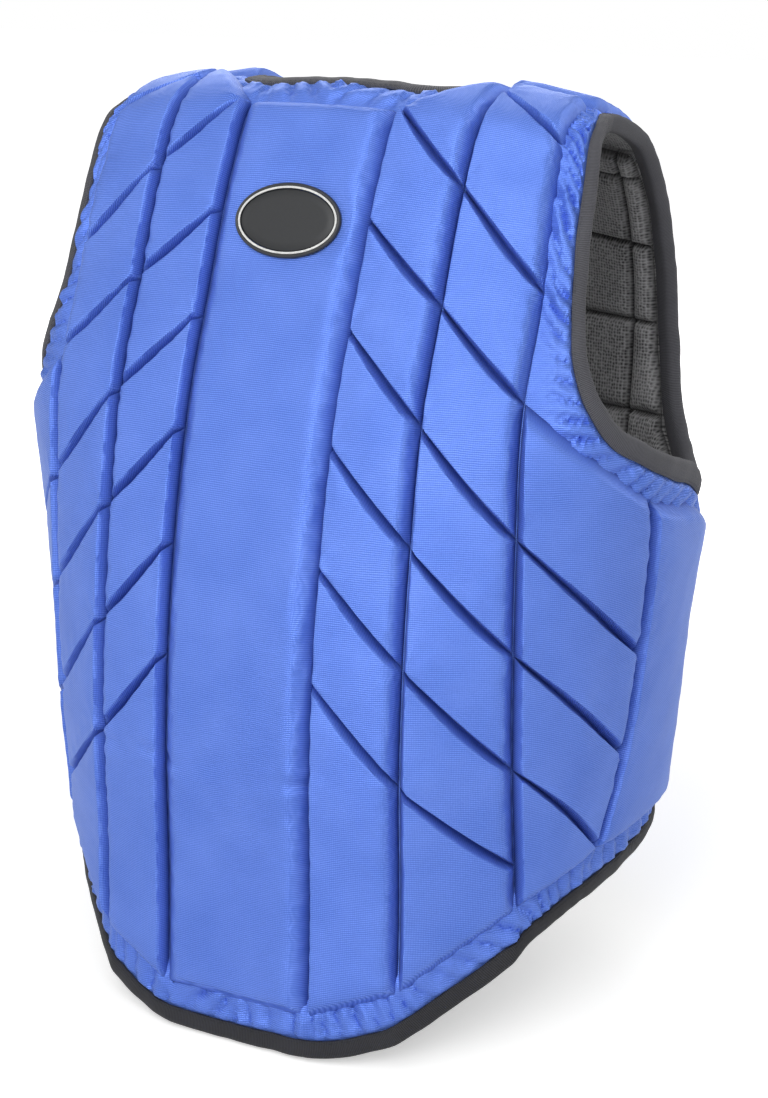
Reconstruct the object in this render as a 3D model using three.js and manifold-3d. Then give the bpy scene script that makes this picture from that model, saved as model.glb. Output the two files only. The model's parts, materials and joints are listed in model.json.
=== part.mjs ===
// Foam body protector: a padded vest with a quilted back, two front halves and a front zip.
// Millimetres, +Z up. The wearer faces -Y, the wearer's left is +X, and the origin is the
// middle of the torso. Every textile piece is cut in a flat pattern and wrapped round the torso.
// In the pattern, u runs round the body from the centre back and v runs up it.
import * as THREE from 'three';
import { mergeVertices } from 'three/addons/utils/BufferGeometryUtils.js';
import Module from 'manifold-3d';

const wasm = await Module();
wasm.setup();

// Torso the vest is cut for, measured on the outer cloth
const hemHalfWidth = 167;
const waistHalfWidth = 173;
const chestHalfWidth = 196;
const shoulderHalfWidth = 174;
const tailBackDepth = 168;
const waistBackDepth = 161;
const chestBackDepth = 126;
const bladeBackDepth = 77;
const napeBackDepth = 56;
const shoulderBackDepth = 36;
const frontDepth = 123.5;
const frontLean = 0.03;
const bladeFrontDepth = 96;
const napeFrontDepth = 66;
const shoulderFrontDepth = 40;
const frontNeckHeight = 148;
const bladeHeight = 213.5;
const napeHeight = 244.5;
const shoulderHeight = 253;
const ridgeHeight = 254.5;
const shoulderSlope = 0.00075;
const shoulderFall = 7;

// Heights up the pattern
const tailHem = -266;
const sideHem = -185;
const frontHem = -200;
const armholeFloor = 36;
const neckFloor = 150;
const formMargin = 9;
const tailLine = tailHem - formMargin;
const hipLine = -171;
const waistLine = -97;
const beltLine = -32;
const ribLine = 30;
const chestLine = 95;
const frontNeckLine = 152;
const bladeLine = 221;
const napeLine = 263;
const shoulderLine = 287;
const ridgeLine = 322;

// Widths round the pattern, from the centre back to the centre front
const spineHalf = 46;
const innerColumn = 48;
const middleColumn = 54;
const outerColumn = 84;
const sidePanel = 96;

// Layers, measured outwards from the outer face of the cloth
const clothThickness = 2;
const layerGap = 0.3;
const padHeight = 9;
const grooveFloor = 1.9;
const padBevel = 8.5;
const innerPadding = 8.4;
const seamGap = 0.3;

// Bindings
const bindingWidth = 10;
const bindingThickness = 1.5;

// Badge on the spine
const badgeLine = 191;
const badgeHalfWidth = 32;
const badgeHalfHeight = 20.5;
const badgeThickness = 1.6;
const badgeRimWidth = 3.2;
const badgeRimThickness = 2.4;
const badgeSteps = 12;

// Front zip, down the straight centre front
const zipTop = 136;
const zipBottom = -188;
const zipEdge = 7;
const zipPadMargin = 8;
const zipTapeWidth = 13;
const zipTapeThickness = 1;
const tapeClearance = 1;
const toothGap = 1;
const toothRoot = 1;
const toothReach = 2;
const toothPitch = 9;
const toothHeight = 4;
const teethThickness = 3.4;
const sliderLength = 14;
const sliderHalfWidth = 6;
const plateThickness = 1.6;
const runningGap = 0.5;
const postHalfWidth = 0.6;
const postLength = 5;
const postBite = 1;
const stopLength = 5;
const boxLength = 10;
const bridgeHalfWidth = 1;
const bridgeThickness = 1.2;
const bridgeHalfLength = 4;
const archHalfWidth = 2;
const tabLength = 30;
const tabHalfWidth = 4;
const tabThickness = 1.6;
const tabWindow = 6;

// Shoulder closure
const tongueInner = 81;
const tongueOuter = 133;
const tongueOverlap = 37;
const tongueReach = 42;
const loopPatchThickness = 0.7;
const loopPatchInset = 4;
const tongueThickness = 1.7;

// Column lines of the pattern
const lineA = spineHalf;
const lineB = lineA + innerColumn;
const lineC = lineB + middleColumn;
const lineD = lineC + outerColumn;
const lineE = lineD + sidePanel;
const frontC = lineE + outerColumn;
const frontB = frontC + middleColumn;
const frontA = frontB + innerColumn;
const frontCentre = frontA + spineHalf;

// Width of each column as seen square on from behind, where the back curves away
const innerColumnSeen = 47;
const middleColumnSeen = 49;
const columnX = [lineA, lineA + innerColumnSeen, lineA + innerColumnSeen + middleColumnSeen];
const frontSeamY = -50;
const upperSeamAngles = [1.29, 1.9];

// Smallest measure, side and turn that count as more than nothing, and the steps of a corner's key
const tiny = 1e-9;
const shortest = 1e-6;
const spikeTurn = 1e-7;
const keyScale = 2 ** 20;

// Colours
const blue = { color: 0x5a80d8, roughness: 0.55, metalness: 0 };
const blueFold = { color: 0x4a6fca, roughness: 0.6, metalness: 0 };
const charcoal = { color: 0x3a3b3e, roughness: 0.9, metalness: 0 };
const tapeGrey = { color: 0x45464a, roughness: 0.8, metalness: 0 };
const hemGrey = { color: 0x2b2c30, roughness: 0.8, metalness: 0 };
const hookBlack = { color: 0x1c1d20, roughness: 0.95, metalness: 0 };
const zipBlack = { color: 0x202124, roughness: 0.5, metalness: 0 };
const badgeGrey = { color: 0x3c3d41, roughness: 0.5, metalness: 0 };

// Sections of the torso, from the tail up to the ridge of the shoulder. The fall is how much lower
// the front of a section lies than its back.
const sections = [
  { v: tailLine, width: hemHalfWidth, back: tailBackDepth, seam: 58 },
  { v: hipLine, width: hemHalfWidth, back: waistBackDepth + 1, seam: 56 },
  { v: waistLine, width: waistHalfWidth, back: waistBackDepth, seam: 36 },
  { v: beltLine, width: waistHalfWidth + 6, back: waistBackDepth - 6, seam: 31 },
  { v: ribLine, width: chestHalfWidth - 7, back: chestBackDepth + 18, seam: 40 },
  { v: chestLine, width: chestHalfWidth, back: chestBackDepth, seam: 56 },
  { v: frontNeckLine, width: chestHalfWidth - 6, back: chestBackDepth - 21, seam: 55 },
  { v: bladeLine, width: shoulderHalfWidth + 8, back: bladeBackDepth, front: bladeFrontDepth },
  { v: napeLine, width: shoulderHalfWidth + 4, back: napeBackDepth, front: napeFrontDepth },
  { v: shoulderLine, width: shoulderHalfWidth, back: shoulderBackDepth, front: shoulderFrontDepth },
  { v: ridgeLine, width: shoulderHalfWidth, back: 0, front: 0 },
];
const chestRow = sections.findIndex((section) => section.v === frontNeckLine);
const upperHeights = [frontNeckHeight, bladeHeight, napeHeight, shoulderHeight, ridgeHeight];
const upperSlopes = [0.3, 0.7, 0.9, 1, 1];
const upperFalls = [0, shoulderFall - 1, shoulderFall + 2, shoulderFall, 0];
sections.forEach((section, row) => {
  const above = row - chestRow;
  section.z = above < 0 ? section.v : upperHeights[above];
  section.slope = above < 0 ? 0 : upperSlopes[above];
  section.fall = above < 0 ? 0 : upperFalls[above];
  section.front ??= frontDepth - frontLean * section.z;
  section.power = row < chestRow - 1 ? 2.5 : 2.8;
});

const lines = [lineA, lineB, lineC, (lineC + lineD) / 2, lineD, lineD + sidePanel / 3];
lines.push(lineD + sidePanel * 2 / 3, lineE, (lineE + frontC) / 2, frontC, frontB, frontA, frontCentre);
const heights = sections.map((section) => section.v);
const lastLine = lines.length - 1;
const lastRow = sections.length - 1;

// Angles round one section at which the column lines lie
function anglesOf(section) {
  const { width, back, front, power, seam } = section;
  const atX = (x) => Math.asin(Math.min(1, x / width) ** (power / 2));
  const [a, b, c] = columnX.map(atX);
  const turn = Math.PI;
  const d = seam === undefined ? upperSeamAngles[0] : Math.acos((seam / back) ** (power / 2));
  const frontSeam = turn - Math.acos((-frontSeamY / front) ** (power / 2));
  const e = seam === undefined ? upperSeamAngles[1] : frontSeam;
  const side = (e - d) / 3;
  const behind = [a, b, c, (c + d) / 2, d, d + side, d + 2 * side, e];
  return [...behind, (e + turn - c) / 2, turn - c, turn - b, turn - a, turn];
}

function sectionPoint(section, angle, line) {
  const { width, back, front, power, z, slope, fall } = section;
  const behind = Math.cos(angle) >= 0;
  const across = Math.abs(Math.sin(angle)) ** (2 / power);
  const along = Math.abs(Math.cos(angle)) ** (2 / power);
  const x = line === lastLine ? 0 : width * across;
  const y = behind ? back * along : -front * along;
  return new THREE.Vector3(x, y, z - shoulderSlope * slope * x * x - (behind ? 0 : fall * along));
}

const points = sections.map((section) => (
  anglesOf(section).map((angle, line) => sectionPoint(section, angle, line))
));
const mirrored = (point) => new THREE.Vector3(-point.x, point.y, point.z);

// Grid point, also past the ridge, the centre back and the centre front
function gridPoint(line, row) {
  if (row > lastRow) {
    const across = lastLine - 1 - line;
    return across >= 0 ? gridPoint(across, 2 * lastRow - row) : mirrored(points[2 * lastRow - row][0]);
  }
  if (line < 0) {
    return mirrored(points[row][0]);
  }
  return line > lastLine ? mirrored(points[row][lastLine - 1]) : points[row][line];
}

function gridNormal(line, row) {
  const round = gridPoint(line + 1, row).clone().sub(gridPoint(line - 1, row));
  const straightFront = line === lastLine && row <= chestRow;
  const above = straightFront ? gridPoint(line, row) : gridPoint(line, row + 1);
  const below = row === 0 ? gridPoint(line, 0) : gridPoint(line, row - 1);
  const up = straightFront && row === 0 ? gridPoint(line, 1).clone().sub(below) : above.clone().sub(below);
  return up.cross(round).normalize();
}

const normals = sections.map((_, row) => lines.map((_, line) => gridNormal(line, row)));

function cellIndex(marks, value) {
  let index = 0;
  while (index < marks.length - 2 && value >= marks[index + 1]) {
    index += 1;
  }
  return index;
}

function raised(line, row, height) {
  return points[row][line].clone().addScaledVector(normals[row][line], height);
}

// Wraps a pattern point round the torso, height mm outside the cloth
function wrap(u, v, height) {
  const side = u < 0 ? -1 : 1;
  const overRidge = v > ridgeLine;
  const round = overRidge ? frontCentre - Math.abs(u) : Math.abs(u);
  const up = overRidge ? 2 * ridgeLine - v : v;
  const row = cellIndex(heights, up);
  const t = (up - heights[row]) / (heights[row + 1] - heights[row]);
  let point;
  if (round <= lineA) {
    point = raised(0, row, height).lerp(raised(0, row + 1, height), t);
    point.x *= round / lineA;
  } else {
    const line = cellIndex(lines, round);
    const s = (round - lines[line]) / (lines[line + 1] - lines[line]);
    const lower = s + t <= 1;
    const corner = lower ? raised(line, row, height) : raised(line + 1, row + 1, height);
    const round2 = lower ? raised(line + 1, row, height) : raised(line, row + 1, height);
    const up2 = lower ? raised(line, row + 1, height) : raised(line + 1, row, height);
    point = corner.clone();
    point.addScaledVector(round2.sub(corner), lower ? s : 1 - s);
    point.addScaledVector(up2.sub(corner), lower ? t : 1 - t);
  }
  point.x *= side;
  return point;
}

// Cells of the pattern: one flat cell across the spine and two triangles in each other cell
function patternCells() {
  const cells = [];
  const rows = [...heights, ...heights.slice(0, -1).reverse().map((v) => 2 * ridgeLine - v)];
  for (let row = 0; row < rows.length - 1; row += 1) {
    const [low, high] = [rows[row], rows[row + 1]];
    cells.push([[-lineA, low], [lineA, low], [lineA, high], [-lineA, high]]);
    for (let line = 0; line < lastLine; line += 1) {
      const [near, far] = [lines[line], lines[line + 1]];
      cells.push([[near, low], [far, low], [near, high]]);
      cells.push([[far, low], [far, high], [near, high]]);
      cells.push([[-far, low], [-near, low], [-near, high]]);
      cells.push([[-far, low], [-near, high], [-far, high]]);
    }
  }
  return cells;
}

const cells = patternCells();

// Part of an outline where a linear measure isn't negative
function keepWhere(outline, measure) {
  const kept = [];
  outline.forEach((p, index) => {
    const q = outline[(index + 1) % outline.length];
    const [a, b] = [measure(p), measure(q)];
    if (a >= -tiny) {
      kept.push(p);
    }
    if ((a > tiny && b < -tiny) || (a < -tiny && b > tiny)) {
      const t = a / (a - b);
      kept.push([p[0] + (q[0] - p[0]) * t, p[1] + (q[1] - p[1]) * t]);
    }
  });
  return withoutSpikes(kept);
}

// Drops repeated points and points at which an outline turns straight back
function withoutSpikes(outline) {
  const spike = outline.findIndex((q, index) => {
    const p = outline[(index + outline.length - 1) % outline.length];
    const r = outline[(index + 1) % outline.length];
    const [ax, ay, bx, by] = [q[0] - p[0], q[1] - p[1], r[0] - q[0], r[1] - q[1]];
    const turn = Math.abs(ax * by - ay * bx);
    const length = Math.hypot(ax, ay);
    return length < shortest || (turn < spikeTurn * length && ax * bx + ay * by < 0);
  });
  if (spike < 0 || outline.length < 3) {
    return outline;
  }
  return withoutSpikes(outline.filter((_, index) => index !== spike));
}

// How far a point lies to the left of the line from a to b
function leftOf(a, b) {
  const length = Math.hypot(b[0] - a[0], b[1] - a[1]);
  return (p) => ((b[0] - a[0]) * (p[1] - a[1]) - (b[1] - a[1]) * (p[0] - a[0])) / length;
}

const sidesOf = (outline) => outline.map((a, index) => leftOf(a, outline[(index + 1) % outline.length]));
const areaOf = (outline) => THREE.ShapeUtils.area(outline.map(([u, v]) => new THREE.Vector2(u, v)));
const turned = (outline) => (areaOf(outline) > 0 ? outline : [...outline].reverse());
const clipTo = (outline, cell) => sidesOf(cell).reduce((kept, side) => keepWhere(kept, side), outline);

// Pieces of an outline in the cells of the pattern
function piecesOf(outline) {
  const pieces = cells.map((cell) => clipTo(outline, cell));
  return pieces.filter((piece) => piece.length > 2 && areaOf(piece) > tiny);
}

function eachTriangle(piece, visit) {
  const flat = piece.map(([u, v]) => new THREE.Vector2(u, v));
  const triangles = THREE.ShapeUtils.triangulateShape(flat, []);
  triangles.forEach((corners) => visit(corners.map((corner) => piece[corner])));
}

// Closed solid over blocks of the pattern. Each block has an outline, the faces of its top and
// the height of the top at a point. The underside is level.
function layeredSolid(blocks, bottom) {
  const triangles = [];
  const edges = new Map();
  const nameOf = (p) => p.map((value) => Math.round(value * keyScale)).join();
  blocks.forEach(({ outline, faces, heightAt }) => {
    faces.flatMap(piecesOf).forEach((piece) => {
      eachTriangle(piece, (corners) => triangles.push(corners.map((p) => [...p, heightAt(p)])));
    });
    piecesOf(outline).forEach((piece) => {
      eachTriangle(piece, ([a, b, c]) => triangles.push([c, b, a].map((p) => [...p, bottom])));
      piece.forEach((p, index) => {
        const q = piece[(index + 1) % piece.length];
        if (!edges.delete(`${nameOf(q)}>${nameOf(p)}`)) {
          edges.set(`${nameOf(p)}>${nameOf(q)}`, { p, q, heightAt });
        }
      });
    });
  });
  edges.forEach(({ p, q, heightAt }) => {
    const [pTop, qTop] = [[...p, heightAt(p)], [...q, heightAt(q)]];
    triangles.push([[...p, bottom], [...q, bottom], qTop], [[...p, bottom], qTop, pTop]);
  });
  return wrapped(triangles);
}

function sheet(outline, bottom, top) {
  const ccw = turned(outline);
  return layeredSolid([{ outline: ccw, faces: [ccw], heightAt: () => top }], bottom);
}

// The pattern is seen from outside with u to the left, so each triangle turns over
function wrapped(triangles) {
  const placed = ([u, v, h]) => wrap(u, v, h).toArray();
  const corners = triangles.flatMap((triangle) => triangle.reverse().map(placed));
  const geometry = new THREE.BufferGeometry();
  geometry.setAttribute('position', new THREE.Float32BufferAttribute(corners.flat(), 3));
  return geometry;
}

// Merges shared corners and drops triangles that have shrunk to a line
function closed(geometry) {
  const merged = mergeVertices(geometry, 1e-3);
  const index = merged.index.array;
  const kept = [];
  for (let i = 0; i < index.length; i += 3) {
    const [a, b, c] = [index[i], index[i + 1], index[i + 2]];
    if (a !== b && b !== c && c !== a) {
      kept.push(a, b, c);
    }
  }
  merged.setIndex(kept);
  merged.computeVertexNormals();
  return merged;
}

// Geometry with nothing but its places
function bare(geometry) {
  geometry.deleteAttribute('normal');
  geometry.deleteAttribute('uv');
  return geometry;
}

// Joins and cuts of plain solids
function solidOf(geometry) {
  const merged = mergeVertices(bare(geometry.clone()), 1e-4);
  const vertProperties = new Float32Array(merged.attributes.position.array);
  const triVerts = new Uint32Array(merged.index.array);
  return new wasm.Manifold(new wasm.Mesh({ numProp: 3, vertProperties, triVerts }));
}

function geometryFrom(solid) {
  const mesh = solid.getMesh();
  const geometry = new THREE.BufferGeometry();
  geometry.setAttribute('position', new THREE.BufferAttribute(new Float32Array(mesh.vertProperties), 3));
  geometry.setIndex(new THREE.BufferAttribute(new Uint32Array(mesh.triVerts), 1));
  return geometry;
}

function box(x, y, z) {
  const geometry = new THREE.BoxGeometry(x[1] - x[0], y[1] - y[0], z[1] - z[0]);
  return geometry.translate((x[0] + x[1]) / 2, (y[0] + y[1]) / 2, (z[0] + z[1]) / 2);
}

const vest = new THREE.Group();

function addMesh(name, geometry, finish, parent = vest) {
  const mesh = new THREE.Mesh(closed(bare(geometry)), new THREE.MeshStandardMaterial(finish));
  mesh.name = name;
  parent.add(mesh);
}

// Edges of the cloth on the left side. The cloth lies to the left of each path.
const hemEdge = [[0, tailHem], [lineA - 6, tailHem + 1], [lineA + 18, tailHem + 4], [lineB + 2, tailHem + 16],
  [lineC - 24, tailHem + 36], [lineC + 12, tailHem + 62], [lineD - 27, sideHem - 7], [lineD + 26, sideHem],
  [lineE, sideHem + 5], [frontC, sideHem + 3], [frontB, frontHem + 10], [frontA, frontHem + 3],
  [frontCentre, frontHem]];
const neckFront = [[frontCentre, neckFloor], [frontA + 26, neckFloor + 3], [frontA + 9, neckFloor + 14],
  [frontA - 7, neckFloor + 38], [frontA - 16, neckFloor + 71], [frontA - 20, ridgeLine - 59],
  [frontA - 21, ridgeLine - 32], [frontA - 22, ridgeLine]];
const armhole = [[frontC - 6, ridgeLine], [frontC - 7, ridgeLine - 16], [frontC - 6, ridgeLine - 62],
  [frontC - 7, armholeFloor + 175], [frontC - 8, armholeFloor + 122], [frontC - 10, armholeFloor + 72],
  [frontC - 20, armholeFloor + 30], [lineE + 38, armholeFloor + 8], [lineE, armholeFloor],
  [lineE - 22, armholeFloor + 6], [lineD + 50, armholeFloor + 17], [lineD + 30, armholeFloor + 27],
  [lineD + 4, armholeFloor + 39], [lineD - 20, armholeFloor + 53], [lineC + 50, armholeFloor + 71],
  [lineC + 42, armholeFloor + 94], [lineC + 38, armholeFloor + 122], [lineC + 29, armholeFloor + 169],
  [lineC + 26, ridgeLine - 72], [lineC + 20, ridgeLine - 37], [lineC + 11, ridgeLine - 14],
  [lineC + 6, ridgeLine]];
const neckBack = [[lineA + 22, ridgeLine], [lineA + 19, ridgeLine - 9], [lineA + 12, ridgeLine - 18],
  [lineA, ridgeLine - 24], [lineA - 20, ridgeLine - 23], [0, ridgeLine - 22]];

const flip = (outline) => outline.map(([u, v]) => [-u, v]).reverse();
const hemAround = [...flip(hemEdge).slice(0, -1), ...hemEdge];
const neckAround = [...neckBack.slice(0, -1), ...flip(neckBack)];

// Path moved to its left by a distance
function offsetPath(path, distance) {
  return path.map((p, index) => {
    const before = path[Math.max(0, index - 1)];
    const after = path[Math.min(path.length - 1, index + 1)];
    const [du, dv] = [after[0] - before[0], after[1] - before[1]];
    const length = Math.hypot(du, dv);
    return [p[0] - dv / length * distance, p[1] + du / length * distance];
  });
}

const within = ({ left, right, top }) => [[left, tailLine], [right, tailLine], [right, top], [left, top]];
const shoulderTop = ridgeLine - seamGap;
const backLimits = { left: -lineE + seamGap, right: lineE - seamGap, top: shoulderTop };
const frontLimits = { left: lineE + seamGap, right: frontCentre - zipEdge, top: shoulderTop };
const liningLimits = { ...frontLimits, right: frontCentre - zipEdge - zipTapeWidth + 2 };

// Cloth of one half of the vest, its edges set back by a margin, cut to its limits
function clothHalf(margin) {
  const edges = [hemEdge, neckFront, armhole, neckBack];
  return edges.flatMap((edge) => offsetPath(edge, margin));
}

function clothOutline(margin, limits) {
  const half = clothHalf(margin);
  const whole = limits.left < 0 ? [...half.slice(0, -1), ...flip(half).slice(0, -1)] : half;
  return clipTo(turned(whole), within(limits));
}

const clothMargin = bindingWidth + 2 * layerGap;
const liningTop = -clothThickness - layerGap;
const liningBottom = liningTop - clothThickness;
const paddingTop = liningBottom - layerGap;
const tapeTop = layerGap + bindingThickness;
const tapeBottom = liningBottom - layerGap - bindingThickness;

// Tape along an edge of the cloth
function binding(path, limits) {
  return sheet(tapeOutline(path, limits), tapeBottom, tapeTop);
}

function tapeOutline(path, limits) {
  return clipTo(turned([...path, ...offsetPath(path, bindingWidth).reverse()]), within(limits));
}

// One foam block: a flat top with bevelled sides, over a convex outline
function foamBlock(outline) {
  const insideOf = sidesOf(outline);
  const rise = (padHeight - grooveFloor) / padBevel;
  const heightAt = (p) => Math.min(padHeight, ...insideOf.map((side) => grooveFloor + rise * side(p)));
  const top = insideOf.reduce((kept, side) => keepWhere(kept, (p) => side(p) - padBevel), outline);
  const bevels = insideOf.map((side) => {
    const border = keepWhere(outline, (p) => padBevel - side(p));
    return insideOf.reduce((kept, other) => keepWhere(kept, (p) => other(p) - side(p)), border);
  });
  return { outline, faces: [top, ...bevels].filter((face) => face.length > 2), heightAt };
}

// Column of foam blocks, parted by the grooves that cross it
function padColumn(outline, grooves) {
  let rest = turned(outline);
  const blocks = [];
  grooves.forEach(([start, end]) => {
    const below = start[0] < end[0] ? leftOf(end, start) : leftOf(start, end);
    blocks.push(keepWhere(rest, (p) => -below(p)));
    rest = keepWhere(rest, below);
  });
  return [...blocks, rest].map(foamBlock);
}

const between = (left, right) => (outline) => {
  const ccw = keepWhere(turned(outline), (p) => p[0] - left - seamGap);
  return keepWhere(ccw, (p) => right - seamGap - p[0]);
};
const grooveLines = (u0, starts, u1, ends) => starts.map((v, index) => [[u0, v], [u1, ends[index]]]);

function flippedBlocks(blocks) {
  return blocks.map(({ outline, faces, heightAt }) => (
    { outline: flip(outline), faces: faces.map(flip), heightAt: ([u, v]) => heightAt([-u, v]) }
  ));
}

// Adds a layer on the left and its mirror image on the right
function addPair(name, finish, blocks, bottom) {
  addMesh(`${name}_left`, layeredSolid(blocks, bottom), finish);
  addMesh(`${name}_right`, layeredSolid(flippedBlocks(blocks), bottom), finish);
}

function addSheetPair(name, finish, outline, bottom, top) {
  addMesh(`${name}_left`, sheet(outline, bottom, top), finish);
  addMesh(`${name}_right`, sheet(flip(outline), bottom, top), finish);
}

function addBindingPair(name, finish, path, limits) {
  addSheetPair(name, finish, tapeOutline(path, limits), tapeBottom, tapeTop);
}

// Heights at which the grooves meet each column line
const backGrooves = {
  a: [264, 195, 138, 77, 16, -45],
  b: [292, 219, 156, 91, 29, -35, -100],
  c: [252, 168, 105, 34, -29, -94, -152],
  d: [-46, -104, -156],
};
const grooveFall = 60;
const frontGrooves = [0, 1, 2, 3, 4, 5].map((groove) => 178 - groove * grooveFall);

// Feet and tops of the pads, and where the inner padding stops below the shoulder
const padTop = ridgeLine - 4;
const spineTop = padTop - 55;
const sideFoot = sideHem + 22;
const paddingStop = ridgeLine - 72;
const hipFoot = sideHem + 5;

function addBack() {
  const columnFoot = tailHem + 43;
  const spineFoot = tailHem + 25;
  const sideTop = armholeFloor - 20;
  const seamTop = armholeFloor + 10;
  const spineOutline = [[-lineA, spineFoot], [lineA, spineFoot], [lineA, spineTop], [-lineA, spineTop]];
  const innerOutline = [[lineA, spineFoot], [lineB, columnFoot], [lineB, padTop], [lineB - 6, padTop],
    [lineA, spineTop + 1]];
  const middleOutline = [[lineB, columnFoot], [lineC, hipFoot], [lineC, armholeFloor + 134],
    [lineC - 9, padTop], [lineB, padTop]];
  const outerOutline = [[lineC, hipFoot + 2], [lineD, sideFoot + 3], [lineD, seamTop + 2],
    [lineC, armholeFloor + 70]];
  const sideOutline = [[lineD, sideFoot + 3], [lineE, sideFoot], [lineE, sideTop], [lineD, seamTop]];
  const paddingHalf = [[0, spineFoot + 1], [lineB - 4, columnFoot - 5], [lineC + 2, hipFoot - 4],
    [lineD + 8, sideFoot - 2], [lineE - 1, sideFoot], [lineE - 1, sideTop - 2], [lineE - 48, sideTop + 12],
    [lineD + 3, seamTop + 6], [lineD - 38, seamTop + 32], [lineC + 28, armholeFloor + 100],
    [lineC + 12, armholeFloor + 169], [lineC, paddingStop], [0, paddingStop]];
  const paddingOutline = [...paddingHalf.slice(0, -1), ...flip(paddingHalf).slice(0, -1)];
  const { a, b, c, d } = backGrooves;
  const outerGrooves = c.slice(c.length - d.length - 1, -1);
  const columns = [
    ['back_inner_pads', innerOutline, lineA, lineB, a, b.slice(1)],
    ['back_middle_pads', middleOutline, lineB, lineC, b, c],
    ['back_outer_pads', outerOutline, lineC, lineD, outerGrooves, d],
    ['side_pad', sideOutline, lineD, lineE, [], []],
  ];
  addMesh('back_cover', sheet(clothOutline(clothMargin, backLimits), -clothThickness, 0), blueFold);
  addMesh('back_lining', sheet(clothOutline(clothMargin, backLimits), liningBottom, liningTop), charcoal);
  addMesh('back_inner_padding', sheet(paddingOutline, paddingTop - innerPadding, paddingTop), charcoal);
  addMesh('spine_pad', layeredSolid(padColumn(between(-lineA, lineA)(spineOutline), []), layerGap), blue);
  addColumns(columns);
  addMesh('back_hem_binding', binding(hemAround, backLimits), hemGrey);
  addMesh('back_neck_binding', binding(neckAround, backLimits), tapeGrey);
  addBindingPair('back_armhole_binding', tapeGrey, armhole, { ...backLimits, left: lineB });
}

function addColumns(columns) {
  columns.forEach(([name, outline, left, right, starts, ends, overhang = 0]) => {
    const grooves = grooveLines(left, starts, right, ends);
    addPair(name, blue, padColumn(between(left, right + overhang)(outline), grooves), layerGap);
  });
}

function addFronts() {
  const zipSide = frontCentre - zipEdge - zipPadMargin;
  const paddingSide = frontCentre - zipEdge - zipTapeWidth - 2;
  const centreFoot = frontHem + 24;
  const innerFoot = sideFoot - 5;
  const topGroove = frontGrooves[0];
  const shoulderOverhang = 15;
  const sideTop = armholeFloor - 28;
  const seamTop = armholeFloor + 16;
  const innerOutline = [[frontB, innerFoot], [zipSide, centreFoot], [zipSide, neckFloor - 20],
    [frontB, topGroove]];
  const middleOutline = [[frontC, sideFoot + 3], [frontB, innerFoot], [frontB, topGroove],
    [frontB + shoulderOverhang, padTop], [frontC + 9, padTop], [frontC, seamTop]];
  const outerOutline = [[lineE, sideFoot], [frontC, sideFoot + 3], [frontC, seamTop], [lineE, sideTop]];
  const paddingOutline = [[lineE + 1, sideFoot], [frontC, sideFoot - 1], [paddingSide, centreFoot - 2],
    [paddingSide, neckFloor - 32], [frontA - 14, neckFloor], [frontA - 30, neckFloor + 55],
    [frontB + 14, paddingStop], [frontC + 8, paddingStop], [frontC + 4, armholeFloor + 169],
    [frontC + 4, armholeFloor + 114], [frontC + 1, armholeFloor + 59], [frontC - 12, seamTop - 2],
    [lineE + 36, sideTop + 18], [lineE + 1, sideTop + 6]];
  const lowered = frontGrooves.map((v) => v - grooveFall);
  const zipEnds = lowered.map((v) => v + grooveFall * (zipSide - frontB) / middleColumn);
  const outerStarts = lowered.slice(1, -1);
  const [middleStarts, middleEnds] = [[topGroove, ...lowered], [topGroove + grooveFall, ...frontGrooves]];
  const columns = [
    ['front_inner_pads', innerOutline, frontB, zipSide, lowered.slice(0, -1), zipEnds],
    ['front_middle_pads', middleOutline, frontC, frontB, middleStarts, middleEnds, shoulderOverhang + 1],
    ['front_outer_pads', outerOutline, lineE, frontC, outerStarts.map((v) => v - grooveFall), outerStarts],
  ];
  addSheetPair('front_cover', blueFold, clothOutline(clothMargin, frontLimits), -clothThickness, 0);
  addSheetPair('front_lining', charcoal, clothOutline(clothMargin, liningLimits), liningBottom, liningTop);
  addSheetPair('front_inner_padding', charcoal, paddingOutline, paddingTop - innerPadding, paddingTop);
  addColumns(columns);
  addBindingPair('front_hem_binding', hemGrey, hemEdge, frontLimits);
  addBindingPair('front_neck_binding', tapeGrey, neckFront, frontLimits);
  addBindingPair('front_armhole_binding', tapeGrey, armhole, { ...frontLimits, right: frontB });
}

// Group whose Z points out of the spine pad and whose Y points up it
function spineSeat(v) {
  const [low, high] = [wrap(0, v - 1, padHeight), wrap(0, v + 1, padHeight)];
  const up = high.clone().sub(low).normalize();
  const across = new THREE.Vector3(-1, 0, 0);
  const out = across.clone().cross(up);
  const seat = new THREE.Group();
  seat.quaternion.setFromRotationMatrix(new THREE.Matrix4().makeBasis(across, up, out));
  seat.position.copy(low.lerp(high, 0.5).addScaledVector(out, layerGap));
  vest.add(seat);
  return seat;
}

function ovalPoints(halfWidth, halfHeight) {
  const oval = new THREE.EllipseCurve(0, 0, halfWidth, halfHeight);
  return oval.getPoints(4 * badgeSteps).slice(0, -1);
}

function slab(shape, depth) {
  return new THREE.ExtrudeGeometry(shape, { depth, bevelEnabled: false });
}

function addBadge() {
  const seat = spineSeat(badgeLine);
  const rim = new THREE.Shape(ovalPoints(badgeHalfWidth, badgeHalfHeight));
  rim.holes.push(new THREE.Path(ovalPoints(badgeHalfWidth - badgeRimWidth, badgeHalfHeight - badgeRimWidth)));
  const inset = badgeRimWidth + layerGap;
  const plate = new THREE.Shape(ovalPoints(badgeHalfWidth - inset, badgeHalfHeight - inset));
  addMesh('badge_rim', slab(rim, badgeRimThickness), badgeGrey, seat);
  addMesh('badge_plate', slab(plate, badgeThickness), badgeGrey, seat);
}

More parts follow.
